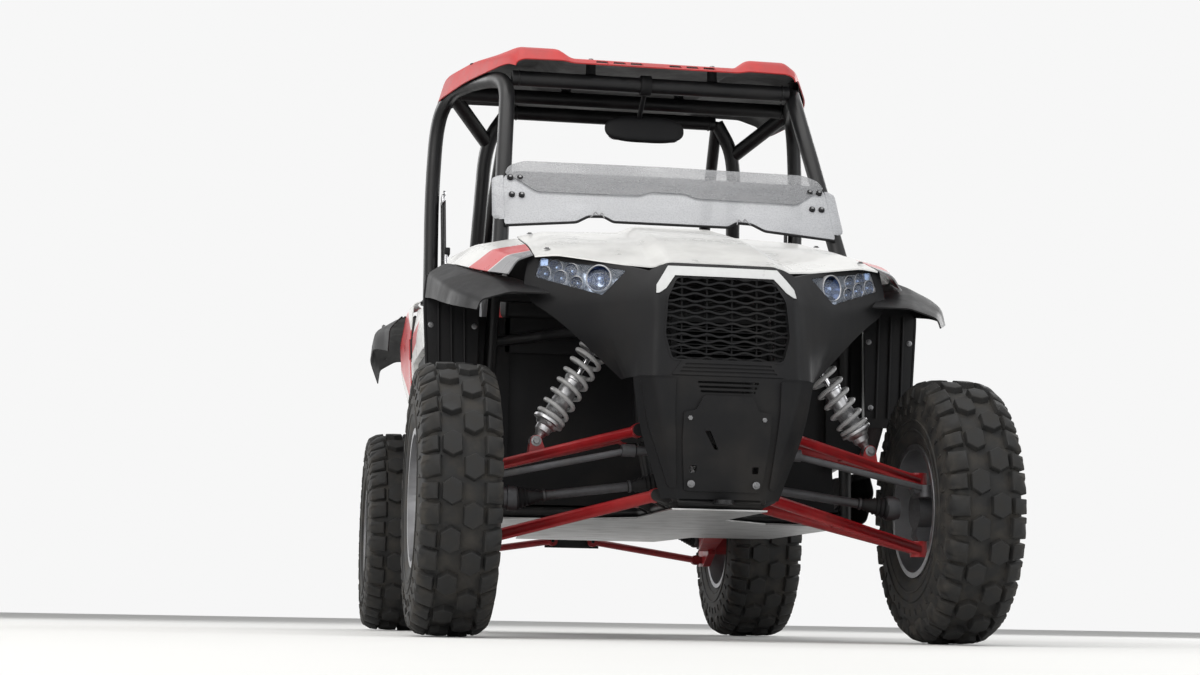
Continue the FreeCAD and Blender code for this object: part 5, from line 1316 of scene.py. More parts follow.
def build_shocks(sizes):
    """The dampers: eyes with bushes and bolts, a cast foot, a threaded body with its collars, and a bright shaft."""
    casting, shafts, rubber, bolts = Form(), Form(), Form(), Form()
    for low, high, eye_axis, low_seat, high_seat, body_len in shock_lines.values():
        axis, whole = span(low, high)
        top = whole / MM
        seat = top - high_seat
        threads = [(low_seat + 22 + 2 * k, 25.2 if k % 2 else 26.4) for k in range(28)]
        body = [(12, 11), (20, 13.5), (30, 17), (34, 22), (low_seat - 14, 24), (low_seat - 10, 30),
                (low_seat - 2, 34), (low_seat, 43), (low_seat + 4, 44), (low_seat + 8, 43.4), (low_seat + 10, 40),
                (low_seat + 10, 31), (low_seat + 20, 31), (low_seat + 21, 26.4)] + threads
        body += [(body_len - 14, 26.4), (body_len - 12, 28.5), (body_len - 2, 28.5), (body_len, 26),
                 (body_len + 1, 10), (body_len + 3, 9)]
        casting.lathe(body, low, axis, 36)
        cap = [(seat - 12, 9), (seat - 10, 24), (seat - 9, 40), (seat - 7, 43.6), (seat - 3, 44), (seat, 42),
               (seat + 2, 26), (seat + 8, 15), (top - 16, 12.5), (top - 10, 11)]
        casting.lathe(cap, low, axis, 36)
        shafts.lathe([(body_len - 6, 8.5), (seat - 4, 8.5)], low, axis, 24)
        bumper = [(seat - 52, 10), (seat - 48, 15), (seat - 40, 17), (seat - 34, 14), (seat - 28, 18),
                  (seat - 12, 20), (seat - 10, 20)]
        rubber.lathe(bumper, low, axis, 28)
        ways = np.array([[-1], [1]]) * np.array(eye_axis, float)
        for eye in (low, high):
            for form, side, bore, wall, width, sides in ((casting, 14, 8.5, 17.2, 15.6, 28),
                                                         (rubber, 13, 6.3, 8.6, 16, 24)):
                rim = wall - 1.2 if form is casting else wall
                form.lathe([(-width, bore), (-width, rim), (-side, wall), (side, wall), (width, rim), (width, bore),
                            (-width, bore)], eye, eye_axis, sides)
            hex_bolts(bolts, mm(eye) + ways * 0.0227, ways, 0.0095, 0.008)
    piece("damper_bodies", casting.both_sides(), "damper", "damper_body", stands_for="shock_absorbers", angle=40.0)
    piece("damper_shafts", shafts.both_sides(), "bright", "machined_steel", angle=60.0)
    piece("damper_rubbers", rubber.both_sides(), "trim", "boot_rubber", angle=50.0)
    piece("suspension_bolts", bolts.both_sides(), "bolt", "machined_steel")


def build_drive_shafts(sizes):
    """The half shafts: bars between two joints, each joint a stepped cup and a boot of folds that narrow."""
    bars, boots = Form(), Form()
    for inner, outer in (((96, -1143, 425), (556, -1143, 374)), ((96.3, 1040, 430), (498, 1143, 368.5))):
        start, end = np.array(inner) + (34, 0, 0), np.array(outer) - (34, 0, 0)
        axis = span(start, end)[0]
        bars.rod([start, end], 0, 12.8, 24)
        for at, sign, mouth, ahead in ((inner, 1, start, axis), (outer, -1, end, -axis)):
            cup = [(0, 20), (1, 30), (10, 30), (11, 33.6), (30, 34), (36, 32.5), (40, 26)]
            bars.lathe(cup, at, (sign, 0, 0), 32)
            folds = [(-6, 32)] + [(d, r) for k in range(6)
                                  for d, r in ((2 + 12 * k, 33 - 2.9 * k), (8 + 12 * k, 26.5 - 2.6 * k))]
            folds += [(74, 15.6), (84, 15.6), (85, 13)]
            boots.lathe(folds, mouth, ahead, 32)
            for d, r in ((-3, 33.2), (79, 16.2)):
                bars.lathe(band(d - 3, d + 3, r, r + 0.7), mouth, ahead, 32)
    piece("half_shafts", bars.both_sides(), "cast", "machined_steel", stands_for="drive_shafts", angle=50.0)
    piece("shaft_boots", boots.both_sides(), "trim", "boot_rubber", angle=70.0)


# Wheels
RIM_R, NUT_CIRCLE = 178.0, 0.068
wheel_places = (   # body and rim node suffix, hub place, tyre width
    ("front_left", (698.5, -AXLE_Y), 229), ("front_right", (-698.5, -AXLE_Y), 229),
    ("rear_left", (673.5, AXLE_Y), 279), ("rear_right", (-673.5, AXLE_Y), 279),
)
tread_blocks = (   # outline in mm along the profile and round the tyre, and its shift in pitches
    ([(4, -22), (28, -35), (51, -19), (51, 20), (28, 35), (4, 23)], 0.0),
    ([(58, -30), (96, -33), (127, -25), (127, 21), (96, 29), (58, 22)], 0.5),
    ([(63, -20), (96, -21), (114, -14), (114, 14), (96, 22), (63, 21)], 0.0),
    ([(140, -4), (158, -3), (158, 3), (140, 4)], 0.1),
    ([(140, -4), (158, -3), (158, 3), (140, 4)], 0.6),
)


def casing_line(half, lug):
    """The casing's profile from one bead over the tread to the other, its corners softened."""
    right = [(0, TYRE_R - lug), (0.45 * half, TYRE_R - lug - 0.5), (half - 32, TYRE_R - lug - 7),
             (half - 17, TYRE_R - lug - 27), (half - 6, RIM_R + 95), (half - 8, RIM_R + 36),
             (0.8 * half + 4, RIM_R + 12), (0.8 * half, RIM_R + 1)]
    return soften(mm([(-x, r) for x, r in right[:0:-1]] + right), 0.02, 6)


def over_casing(line, p, s, h):
    """Places over the tread: p runs along the profile from its middle, s round the tyre, h square off the casing."""
    run = np.concatenate([[0], np.cumsum(np.linalg.norm(np.diff(line, axis=0), axis=1))])
    run -= run[-1] / 2
    ahead = unit(np.gradient(line, run, axis=0))
    x = np.interp(p, run, line[:, 0]) - h * np.interp(p, run, ahead[:, 1])
    r = np.interp(p, run, line[:, 1]) + h * np.interp(p, run, ahead[:, 0])
    angle = s / (TYRE_R * MM)
    return np.stack([x, r * np.sin(angle), -r * np.cos(angle)], -1)


def tyre_form(width, sizes):
    """A tyre about the X axis: the turned casing and its lugs, which are staggered from side to side."""
    half, lug = width / 2, sizes.lug_height / MM - 1
    line = casing_line(half, lug)
    form = Form().grid(turned(np.concatenate([line, line[:1]]), (0, 0, 0), (1, 0, 0), 108))
    pitch = 2 * np.pi * TYRE_R / sizes.lug_pitches
    stretch = half / 114.5
    around = np.arange(sizes.lug_pitches)[:, None, None] * pitch
    rims = np.array([(1.12, -2.5), (1.0, -1.6), (0.93, 0.0), (0.45, 0.0)])
    for side in (-1, 1):
        for outline, shift in tread_blocks:
            points = np.array(outline, float)
            middle = points.mean(0)
            rings = middle + (points - middle) * rims[:, :1, None]
            p, s = rings[..., 0], rings[..., 1]
            tall = np.interp(p, [0, 92, 104, 130, 140], [lug, lug, lug * 0.76, lug * 0.25, 3.0])
            h = np.where(rims[:, 1:] < -2, -2.0, tall + rims[:, 1:])
            s = s * side + (shift + 0.5 * (side > 0)) * pitch
            grid = over_casing(line, *(np.broadcast_to(v, (sizes.lug_pitches,) + p.shape) * MM
                                       for v in (p * stretch * side, s + around, h)))
            for one in grid:
                form.grid(one)
        for p, tall in ((0.178, 0.0035), (0.205, 0.0022)):
            place = side * (p * stretch + np.array([-0.004, -0.0015, 0.0015, 0.004]))[:, None]
            ring = over_casing(line, *np.broadcast_arrays(
                place, np.linspace(0, 2 * np.pi * TYRE_R * MM, 97)[None, :-1],
                np.array([-0.001, tall, tall, -0.001])[:, None]))
            form.grid(np.concatenate([ring, ring[:1]]), caps=False)
    return form


def build_wheels(sizes):
    """The four lugged tyres, the cast wheels with their nuts, the hub caps and the valves."""
    shapes = {}
    for name, (x, y), width in wheel_places:
        node_body = "wheel_" + name
        if width not in shapes:
            shapes[width] = tyre_form(width, sizes).mesh("tyre")
            tidy_mesh(shapes[width], 2e-6)
        mesh = shapes[width].copy()
        if x < 0:
            mesh.transform(Matrix.Scale(-1, 4, (1, 0, 0)))
            mesh.flip_normals()
        mesh.transform(Matrix.Translation((x * MM, y * MM, TYRE_R * MM)))
        settle(as_object("tyre_" + name + "_rubber", mesh), "rubber", "tyre_rubber", node_body, "tyre_" + name,
               angle=34.0)
        dressed("rim_" + name, "rim_" + name + "_cast", "alloy", "wheel_alloy", node_body, 0.0014)
        hub = mm((x, y, TYRE_R))
        out = math.copysign(1.0, x)
        fittings = Form()
        angle = np.pi / 4 + np.arange(4) * np.pi / 2
        spots = np.stack([np.full(4, out * 0.0462), NUT_CIRCLE * np.cos(angle), NUT_CIRCLE * np.sin(angle)], 1) + hub
        hex_bolts(fittings, spots, (out, 0, 0), 0.0085, 0.016)
        cap = [(0.2, 26), (4, 27), (12, 26), (18, 21), (20, 12), (20.5, 0.5)]
        fittings.lathe(cap, (x + out * 50, y, TYRE_R), (out, 0, 0), 32, mark=1)
        valve = [(0, 4), (10, 4), (12, 3), (26, 3), (27, 3.6), (34, 3.6), (35, 2.6)]
        fittings.lathe(valve, (x + out * 46, y, TYRE_R + 150), (out, 0, 0.25), 14, mark=1)
        piece("wheel_" + name + "_fittings", fittings, ("bolt", "black"), "machined_steel", body=node_body)


# Engine, muffler and radiator
def build_engine(sizes):
    """The engine under the bed: crankcase, finned block, head cover, belt housing, gearbox, airbox and pipes."""
    metal_parts, cast_parts, black_parts = Form(), Form(), Form()
    cast_parts.bricks([(-150, 150, 500, 930, 381, 590, "z", 40, 14), (-96, 96, 925, 1075, 381, 520, "y", 34, 10)])
    fins = rounded(box_outline(-128, 128, 560, 800), 0.03, 5)
    levels = [(588, 8)] + [(z, inset) for k in range(9) for z, inset in
                           ((592 + 14 * k, 9), (596 + 14 * k, 0), (600 + 14 * k, 0), (604 + 14 * k, 9))]
    metal_parts.grid(np.stack([placed("z", z * MM, outset(fins, -inset * MM)) for z, inset in levels]))
    black_parts.bricks([(-118, 118, 572, 788, 716, 782, "z", 26, 12)])
    black_parts.bricks((x - 10, x + 10, 590, 770, 778, 788, "z", 8, 4) for x in (-70, 0, 70))
    t = np.linspace(0, 2 * np.pi, 49)[:-1]
    pill = np.stack([0.115 * np.cos(t) + np.where(np.cos(t) > 0, 0.105, -0.105), 0.105 * np.sin(t)], 1)
    pill += (0.715, 0.505)
    black_parts.grid(eased(pill, "x", 0.148, 0.188, 0.014))
    for y in (0.61, 0.82):
        for r in (0.03, 0.055, 0.08):
            black_parts.grid(turned(ring_profile(r, 0.0035, 8), (0.1865, y, 0.505), RIGHT, 36))
    cast_parts.lathe([(0, 92), (24, 92), (30, 84), (32, 60), (38, 56), (39, 1)], (-148, 660, 490), (-1, 0, 0), 40)
    black_parts.bricks([(-150, 60, 820, 950, 640, 790, "z", 30, 16)])
    black_parts.rod([(60, 880, 720), (120, 860, 720), (120, 760, 700), (60, 720, 690)], 40, 30, 20)
    metal_parts.rod([(-60, 790, 640), (-60, 860, 610), (-60, 965, 644)], 40, 21, 20)
    metal_parts.rod([(90, 560, 640), (120, 520, 620), (120, 500, 480)], 30, 12, 14)
    cast_parts.bricks((x - 24, x + 24, y, y + 40, 372, 392, "z", 6, 3) for x in (-150, 150) for y in (540, 850))
    piece("engine_case", cast_parts, "damper", "cast_part", stands_for="engine")
    piece("engine_block", metal_parts, "cast", "cast_part")
    piece("engine_covers", black_parts, "black", "black_plastic")
    rim = placed("x", 0.185, outset(pill, -0.008)[::8])
    lid = mm([(x, y, 781.5) for x in (-104, 104) for y in (590, 680, 770)])
    ways = np.repeat([RIGHT, UP], [len(rim), len(lid)], axis=0)
    bolt_set("engine_bolts", np.concatenate([rim, lid]), ways, 0.0055, 0.006, mirrored=False)


def build_front_drive(sizes):
    """The front differential: a ribbed round case across the nose with bolted flanges."""
    case = Form()
    ribs = [(d, r) for k in range(6) for d, r in ((-44 + 16 * k, 60), (-42 + 16 * k, 64), (-38 + 16 * k, 64),
                                                  (-36 + 16 * k, 60))]
    profile = [(-95.6, 30), (-84, 34), (-70, 36), (-62, 58)] + ribs + [(62, 58), (70, 36), (84, 34), (95.6, 30)]
    case.lathe(profile, (0, -AXLE_Y, 421.5), RIGHT, 40)
    case.bricks([(-48, 48, -1208, -1046, 366, 470, "y", 20, 8)])
    case.lathe([(0, 26), (44, 24), (48, 18), (60, 16)], (0, -1100, 420), (0, 1, 0), 28)
    case.bricks((x - 15, x + 15, y, y + 30, 372, 428, "z", 5, 3) for x in (-80, 80) for y in (-1196, -1112))
    piece("differential_case", case, "damper", "cast_part", stands_for="differential")
    angle = np.arange(8) * np.pi / 4
    spots = np.stack([np.full(8, 0.0622), -1.143 + 0.05 * np.cos(angle), 0.4215 + 0.05 * np.sin(angle)], 1)
    bolt_set("differential_bolts", spots, RIGHT, 0.005, 0.006)


MUFFLER_LINE = (1130, 644.3)


def build_muffler(sizes):
    """The muffler: a can with rolled seams and dished ends, its inlet pipe and its open tail pipe."""
    end = [(140, 66), (148, 66), (152, 68), (156, 66), (164, 63), (169, 52), (170, 30)]
    seams = [(x + d, r) for x in (-60, 60) for d, r in ((0, 66.4), (2, 68), (6, 68), (8, 66.4))]
    can = [(-x, r) for x, r in end[::-1]] + seams + end
    form = Form().lathe(can, (0, *MUFFLER_LINE), RIGHT, 48)
    form.lathe([(0, 22), (104, 22), (104, 28), (110, 28), (116, 22), (169, 22)], (-60, *MUFFLER_LINE), FRONT, 28)
    tail = [(40, 24), (62, 24), (66, 26), (70, 24), (130, 24), (132, 23.4), (132, 20.6), (131, 20), (85, 20),
            (84.5, 1)]
    form.lathe(tail, (100, *MUFFLER_LINE), (0, 1, 0), 32)
    piece("muffler_can", form, "muffler", "muffler_steel", stands_for=("muffler", "tail_pipe"), angle=40.0)
    straps = Form()
    for x in (-100, 110):
        straps.lathe(band(-12, 12, 66.2, 68), (x, *MUFFLER_LINE), RIGHT, 48)
    piece("muffler_straps", straps, "steel", "machined_steel")


def build_radiator(sizes):
    """The radiator: two tanks, a pleated core and its flat tubes, behind the grille."""
    core = Form()
    x = np.linspace(-0.118, 0.118, 237)
    pleat = np.where(np.arange(len(x)) % 2, 0.004, 0.0)
    line = np.stack([x, -1.3195 + pleat], 1)
    loop = np.concatenate([line, line[::-1] * (1, 0) + (0, -1.298)])
    core.grid(slab(loop, "z", 0.722, 0.850))
    core.bricks((-118, 118, -1320.5, -1300, z - 1.5, z + 1.5, "z", 0, 0.4) for z in np.arange(730, 848, 12))
    tanks = Form().bricks((-133, 133, -1321.6, -1294.4, z, z + 20, "x", 6, 4) for z in (704, 848))
    tanks.bricks((x, x + 17, -1321, -1295, 718, 854, "z", 3, 2) for x in (-133, 116))
    tanks.rod([(100, -1300, 858), (100, -1262, 858), (120, -1240, 830)], 14, 14, 16)
    piece("radiator_core", core, "core", "bare_aluminium", stands_for="radiator", angle=20.0)
    piece("radiator_tanks", tanks, "black", "black_plastic")


# The cabin
seat_back_rows = [
    (652, 255, 205, 84), (850, 276, 212, 92), (1100, 322, 214, 92), (1230, 352, 176, 84), (1352, 384, 130, 62),
]
SEAT_X, CUSHION_BASE, SWELL_FRAMES = 0.305, 560.0, 20


def cushion_rings():
    """The driver's cushion before it swells: rings from back to front with raised bolsters, drawn in a little."""
    rows = []
    for y, top, drop in ((-206, 640, 20), (-120, 664, 1), (40, 650, 1), (208, 630, 1)):
        w = 205 - (10 if y == -206 else 0)
        rows.append(placed("y", y * MM, mm([
            (-w + 18, CUSHION_BASE + drop), (w - 18, CUSHION_BASE + drop), (w, top - 14), (w - 14, top + 24),
            (w - 56, top + 22), (w - 90, top - 6), (-w + 90, top - 6), (-w + 56, top + 22), (-w + 14, top + 24),
            (-w, top - 14)])))
    return across(rounded, soften(np.stack(rows), 0.05, 6), 0.02, 5)


def back_rings():
    """The driver's seat back before it swells: rings from the bottom up, drawn in a little."""
    rows = []
    for z, front, w, thick in seat_back_rows:
        z = min(max(z, 660), 1344)
        lead = 38 if z < 1200 else 14
        w, front, thick = w - 7, front + 7, thick - 14
        outline = [(-w, front - lead), (-w + 46, front - lead), (-w + 74, front), (w - 74, front),
                   (w - 46, front - lead), (w, front - lead), (w - 20, front + thick), (-w + 20, front + thick)]
        rows.append(placed("z", z * MM, mm(outline)))
    return across(rounded, soften(np.stack(rows), 0.09, 6), 0.024, 5)


def swollen(name, rings, cap):
    """A padded form: voxel remesh, then cloth blown up from inside, and no point moved further than the cap."""
    pad = solid(name, Form().grid(rings))
    voxels = pad.modifiers.new("voxels", "REMESH")
    voxels.mode, voxels.voxel_size, voxels.use_smooth_shade = "VOXEL", 0.0062, True
    baked(pad)
    start = read_rows(pad.data.vertices, "co")
    cloth = pad.modifiers.new("swell", "CLOTH")
    rules = cloth.settings
    rules.use_pressure, rules.uniform_pressure_force = True, 4.0
    rules.effector_weights.gravity = 0.0
    rules.quality, rules.tension_stiffness = 5, 30.0
    cloth.point_cache.frame_start, cloth.point_cache.frame_end = 1, SWELL_FRAMES
    for step in range(1, SWELL_FRAMES + 1):
        bpy.context.scene.frame_set(step)
    baked(pad)
    bpy.context.scene.frame_set(1)
    move = read_rows(pad.data.vertices, "co") - start
    far = np.linalg.norm(move, axis=1, keepdims=True)
    pad.data.vertices.foreach_set("co", (start + move * np.minimum(1, cap / np.maximum(far, 1e-9))).ravel())
    pad.data.update()
    return pad


def sew(pad, seams, facing):
    """Presses seams in: each point goes inwards by a bell curve of its distance to the nearest seam."""
    points, normals = read_rows(pad.data.vertices, "co"), read_rows(pad.data.vertex_normals, "vector")
    nearest = np.full(len(points), 1.0)
    for distance in seams(points):
        nearest = np.minimum(nearest, np.abs(distance))
    front = np.clip((normals @ np.asarray(facing, float) - 0.1) / 0.3, 0, 1)
    depth = 0.0055 * np.exp(-(nearest / 0.0065) ** 2) * front
    pad.data.vertices.foreach_set("co", (points - normals * depth[:, None]).ravel())
    pad.data.update()


def build_seats(sizes):
    """The two seats: padded cushions and backs with sewn channels, shells behind and mounting rails."""
    cushion = swollen("cushion", cushion_rings(), sizes.cushion_cap)
    points = read_rows(cushion.data.vertices, "co")
    points[:, 2] = np.maximum(points[:, 2], CUSHION_BASE * MM + 0.0004)
    cushion.data.vertices.foreach_set("co", points.ravel())

    def cushion_seams(p):
        gap = np.where(np.abs(p[:, 0]) < 0.125, 0.0, 1.0)
        return [np.abs(p[:, 0]) - 0.125, np.abs(p[:, 0]) - 0.188] + [p[:, 1] - y + gap for y in (-0.11, 0.0, 0.11)]

    def back_seams(p):
        gap = np.where(np.abs(p[:, 0]) < 0.125, 0.0, 1.0)
        side = np.where(p[:, 2] < 1.2, 0.0, 1.0)
        return ([np.abs(p[:, 0]) - 0.125 + side, np.abs(p[:, 0]) - 0.188 + side]
                + [p[:, 2] - z + gap for z in (0.80, 0.92, 1.04, 1.16)] + [p[:, 2] - 1.2])

    sew(cushion, cushion_seams, (0, -0.2, 1))
    back = swollen("back", back_rings(), sizes.cushion_cap)
    sew(back, back_seams, (0, -1, 0.2))
    for pad, node, name in ((cushion, "seat_cushions", "seat_cushion"), (back, "seat_backs", "seat_back")):
        for side, label in ((1, "left"), (-1, "right")):
            mesh = pad.data.copy()
            mesh.transform(Matrix.Translation((side * SEAT_X, 0, 0)))
            made = settle(as_object(name + "_" + label, mesh), "seat", "seat_cover", stands_for=node, angle=70.0,
                          levels=1)
        bpy.data.objects.remove(pad)
    rails = Form().bricks((x0 + x, x1 + x, *rest) for x in (-305, 305) for x0, x1, *rest in (
        (-150, 150, 338, 352, 668, 760, "y", 20, 4), (-12, 12, -90, 200, 552, 559.6, "z", 3, 1),
        (-140, 140, -74, -46, 551, 559.2, "z", 3, 1), (-140, 140, 136, 164, 551, 559.2, "z", 3, 1)))
    piece("seat_rails", rails, "frame", "painted_frame")


def build_belts(sizes):
    """Lap and shoulder belts: webbing along each centre pillar, with its guide, tongue, reel and outer anchor."""
    webbing = Form()
    front = bent([(612, 322, 1478), (606, 318, 1300), (600, 318, 1000), (578, 296, 700), (560, 280, 470)], 60)
    rear = bent([(612, 334, 1478), (611, 338, 1300), (606, 352, 1180)], 40)
    for path, side in ((front, (0.3, 1, 0)), (rear, (0, 1, 0))):
        webbing.grid(ribbon(path, side, 0.046, 0.0014))
    fittings = Form().bricks([
        (608, 618, 296, 360, 1466, 1500, "x", 12, 2), (594, 604, 290, 342, 1236, 1290, "x", 7, 2),
        (552, 562, 258, 300, 430, 482, "x", 7, 2), (106, 122, 190, 218, 700, 706, "z", 4, 2)])
    fittings.lathe([(0, 11), (6, 11), (8, 8), (8, 1)], (612, 328, 1506), (-1, 0, 0), 20)
    boxes = Form().bricks([(590, 622, 330, 384, 1130, 1186, "x", 8, 4), (586, 604, 286, 346, 1286, 1312, "x", 7, 3),
                           (104, 124, 186, 222, 552, 700, "z", 6, 4)])
    piece("belt_webbing", webbing.both_sides(), "webbing", "seat_cover", angle=50.0)
    piece("belt_fittings", fittings.both_sides(), "bright", "machined_steel")
    piece("belt_housings", boxes.both_sides(), "trim", "black_plastic")


WHEEL_CENTRE, WHEEL_RADIUS = np.array([0.305, -0.322, 1.086]), 0.168
COLUMN = unit(np.array([0.0, 0.90, 0.436]))


def build_dash(sizes):
    """The dash: a rolled body with its gauge pod, switches, lid, grab bar, column cover, splash skirt and top strip."""
    outline = [(-647.7, 935), (-500, 960), (-450, 1040), (-462, 1124), (-520, 1172), (-647.7, 1160)]
    body = Form().grid(eased(rounded(mm(outline), 0.022, 6), "x", -0.5, 0.5, 0.012))
    pod = np.array([305.0, -530.0, 1150.0])
    body.lathe([(0, 74), (46, 66), (56, 62), (57, 56), (50, 54), (50, 1)], pod, COLUMN, 40)
    body.bricks([(-440, -130, -462, -446, 1000, 1112, "y", 18, 4), (-70, 70, -466, -447, 980, 1112, "y", 14, 4)])
    for x in (-400, 400):
        body.lathe([(0, 30), (8, 30), (12, 26), (12, 1)], (x, -497, 975), (0, 0.85, -0.5), 28)
    body.lathe([(-150, 30), (-60, 34), (-42, 34), (-40, 30), (-40, 9), (15, 9)], WHEEL_CENTRE / MM, COLUMN, 32)
    body.bricks((x0, x1, -646.5, -643.5, low, 940, "y", 0, 0.4)
                for x0, x1, low in ((-500, 500, 836), (-600, -486, 520), (486, 600, 520)))
    top_edge = [(-474, 1150), (474, 1150), (472, 1178), (400, 1196), (165, 1206), (120, 1226), (-120, 1226),
                (-165, 1206), (-400, 1196), (-472, 1178)]
    body.grid(slab(mm(top_edge), "y", -0.6445, -0.6405))
    piece("dash_body", body, "black", "black_plastic", stands_for="dash")
    trims = Form()
    trims.lathe([(50.5, 50), (51.5, 50), (51.5, 1)], pod, COLUMN, 40, mark=3)
    trims.grid(turned(ring_profile(0.0515, 0.0022, 10), pod * MM + COLUMN * 0.0515, COLUMN, 40), mark=1)

    def dial_line(turn, lift, reach):
        """Two places over the dial's face, in metres, on the line at an angle from its top."""
        ray = math.sin(turn) * np.array(RIGHT, float) - math.cos(turn) * np.cross(COLUMN, RIGHT)
        return pod * MM + COLUMN * lift + np.outer(reach, ray)

    for k in range(11):
        trims.grid(tube(dial_line(math.radians(-130 + 26 * k), 0.0522, [0.037, 0.045]), 0.0011, 6), mark=4)
    trims.grid(tube(dial_line(-1.9, 0.0535, [-0.006, 0.034]), [0.0018, 0.0007], 6), mark=5)
    trims.bricks((x - 11, x + 11, -448, -438, 1066, 1096, "y", 3, 3) for x in (-48, -16, 16, 48))
    trims.lathe([(0, 12), (8, 12), (10, 9), (14, 8), (15, 1)], (0, -447, 1020), (0, 1, 0), 24, mark=1)
    bar = [(-430, -458, 1088), (-430, -405, 1092), (-140, -405, 1092), (-140, -458, 1088)]
    trims.rod(bar, 34, 12.5, 18, mark=2)
    trims.bricks([(-310, -260, -447, -441, 1092, 1104, "y", 4, 2)], mark=1)
    piece("dash_trims", trims, ("trim", "bolt", "grip", "dial", "white", "red_lens"), "black_plastic")


def build_steering_wheel(sizes):
    """The steering wheel: a padded ring with sewn wraps, three dished spokes and a boss."""
    ring = ring_profile(WHEEL_RADIUS, 0.0142, 16)
    form = Form().grid(turned(ring, WHEEL_CENTRE, COLUMN, 96), caps=False)
    down = -np.cross(COLUMN, RIGHT)
    for angle in np.radians([15, 75, 105, 165, 200, 340]):
        ray = math.cos(angle) * np.array([1.0, 0, 0]) + math.sin(angle) * down
        ahead = -math.sin(angle) * np.array([1.0, 0, 0]) + math.cos(angle) * down
        form.grid(turned(ring_profile(0.0145, 0.0016, 8), WHEEL_CENTRE + ray * WHEEL_RADIUS, ahead, 20), caps=False)
    boss = [(-26, 30), (-24, 32), (-2, 32), (6, 40), (12, 38), (17, 30), (19, 18), (19.5, 1)]
    form.lathe(boss, WHEEL_CENTRE / MM, COLUMN, 36)
    spokes = Form()
    for angle in (0.0, np.pi / 2, np.pi):
        ray = math.cos(angle) * np.array([1.0, 0, 0]) + math.sin(angle) * down
        side = np.cross(COLUMN, ray)
        reach = np.array([0.024, 0.05, 0.09, 0.13, 0.160])
        lift = np.array([-0.004, -0.006, -0.006, -0.004, 0.0])
        path = WHEEL_CENTRE + reach[:, None] * ray + lift[:, None] * COLUMN
        for offset in (0.01, -0.01):
            spread = np.array([1.2, 1.1, 1.0, 1.1, 1.5])[:, None] * offset
            spokes.grid(ribbon(path + spread * side, side, 0.008, 0.0055))
        spokes.grid(ribbon(path[[0, 1]], side, 0.03, 0.0055))
        spokes.grid(ribbon(path[[3, 4]], side, [0.028, 0.038], 0.0055))
    piece("steering_ring", form, "grip", "grip_rubber", body="steering_wheel", stands_for="steering_wheel",
          angle=50.0)
    piece("steering_spokes", spokes, "cast", "machined_steel", body="steering_wheel", bevel=0.0008)


# The studio
def build_stage(stage):
    """A pale floor, soft lamps, a white surround and the camera of the photograph."""
    scene = bpy.context.scene
    ground = solid("floor", Form().grid(slab(box_outline(-40000, 40000, -40000, 40000), "z", -0.02, 0.0)))
    floor = Bench("floor_paint", specular_ior_level=0.2)
    cloudy = floor.noise(0.6, 3.0)
    ground.data.materials.append(floor.done(
        base_color=floor.mix(cloudy, rgba((0.80, 0.80, 0.79)), rgba((0.84, 0.84, 0.83))),
        roughness=floor.step(cloudy, 0.2, 0.8, 0.7, 0.85)))
    lamps = (   # place, size, watts, colour
        ((-1.0, -1.5, 6.2), 6.0, 230.0, (1.0, 0.99, 0.97)),
        ((-5.5, -6.5, 4.2), 3.6, 210.0, (1.0, 0.98, 0.95)),
        ((6.0, -5.0, 3.0), 3.6, 110.0, (0.95, 0.98, 1.0)),
        ((-5.5, 4.5, 3.6), 3.0, 150.0, (1.0, 1.0, 1.0)),
        ((5.5, 5.0, 3.6), 3.0, 150.0, (1.0, 1.0, 1.0)),
        ((-1.5, -7.5, 1.5), 2.2, 34.0, (1.0, 1.0, 1.0)),
    )
    for k, (place, size, watts, tint) in enumerate(lamps):
        data = bpy.data.lights.new(f"softbox_{k}", "AREA")
        data.size, data.energy, data.color = size, watts * stage.light, tint
        lamp = bpy.data.objects.new(f"softbox_{k}", data)
        scene.collection.objects.link(lamp)
        lamp.location = place
        lamp.rotation_mode = "QUATERNION"
        lamp.rotation_quaternion = (Vector((0, 0, 0.9)) - Vector(place)).to_track_quat("-Z", "Y")
    world = bpy.data.worlds.new("surround")
    world.use_nodes = True
    scene.world = world
    tree = world.node_tree

    def add(kind, *links):
        """A node whose first sockets are linked. Every Math node here takes the larger value."""
        node = tree.nodes.new("ShaderNode" + kind)
        if kind == "Math":
            node.operation = "MAXIMUM"
        for socket, source in zip(node.inputs, links):
            tree.links.new(source, socket)
        return node.outputs

    rays = add("LightPath")
    seen = add("Math", rays["Is Camera Ray"], rays["Is Transmission Ray"])
    seen = add("Math", seen[0], rays["Is Glossy Ray"])
    strength = add("MapRange", seen[0])[0].node
    strength.inputs["To Min"].default_value, strength.inputs["To Max"].default_value = 0.36, 0.93
    surround = tree.nodes["Background"].inputs
    surround["Color"].default_value = (1.0, 1.0, 1.0, 1.0)
    tree.links.new(strength.outputs[0], surround["Strength"])
    camera = bpy.data.objects.new("camera", bpy.data.cameras.new("camera"))
    scene.collection.objects.link(camera)
    camera.data.lens, camera.data.sensor_width = stage.lens, 36.0
    camera.data.clip_end = 200.0
    azimuth, elevation = stage.azimuth, stage.elevation
    back = Vector((math.sin(azimuth) * math.cos(elevation), -math.cos(azimuth) * math.cos(elevation),
                   math.sin(elevation)))
    camera.location = Vector(stage.target) + back * stage.distance
    turn = (-back).to_track_quat("-Z", "Y").to_matrix().to_4x4() @ Matrix.Rotation(stage.roll, 4, "Z")
    camera.rotation_mode = "QUATERNION"
    camera.rotation_quaternion = turn.to_quaternion()
    scene.camera = camera
    scene.view_settings.view_transform = "Standard"


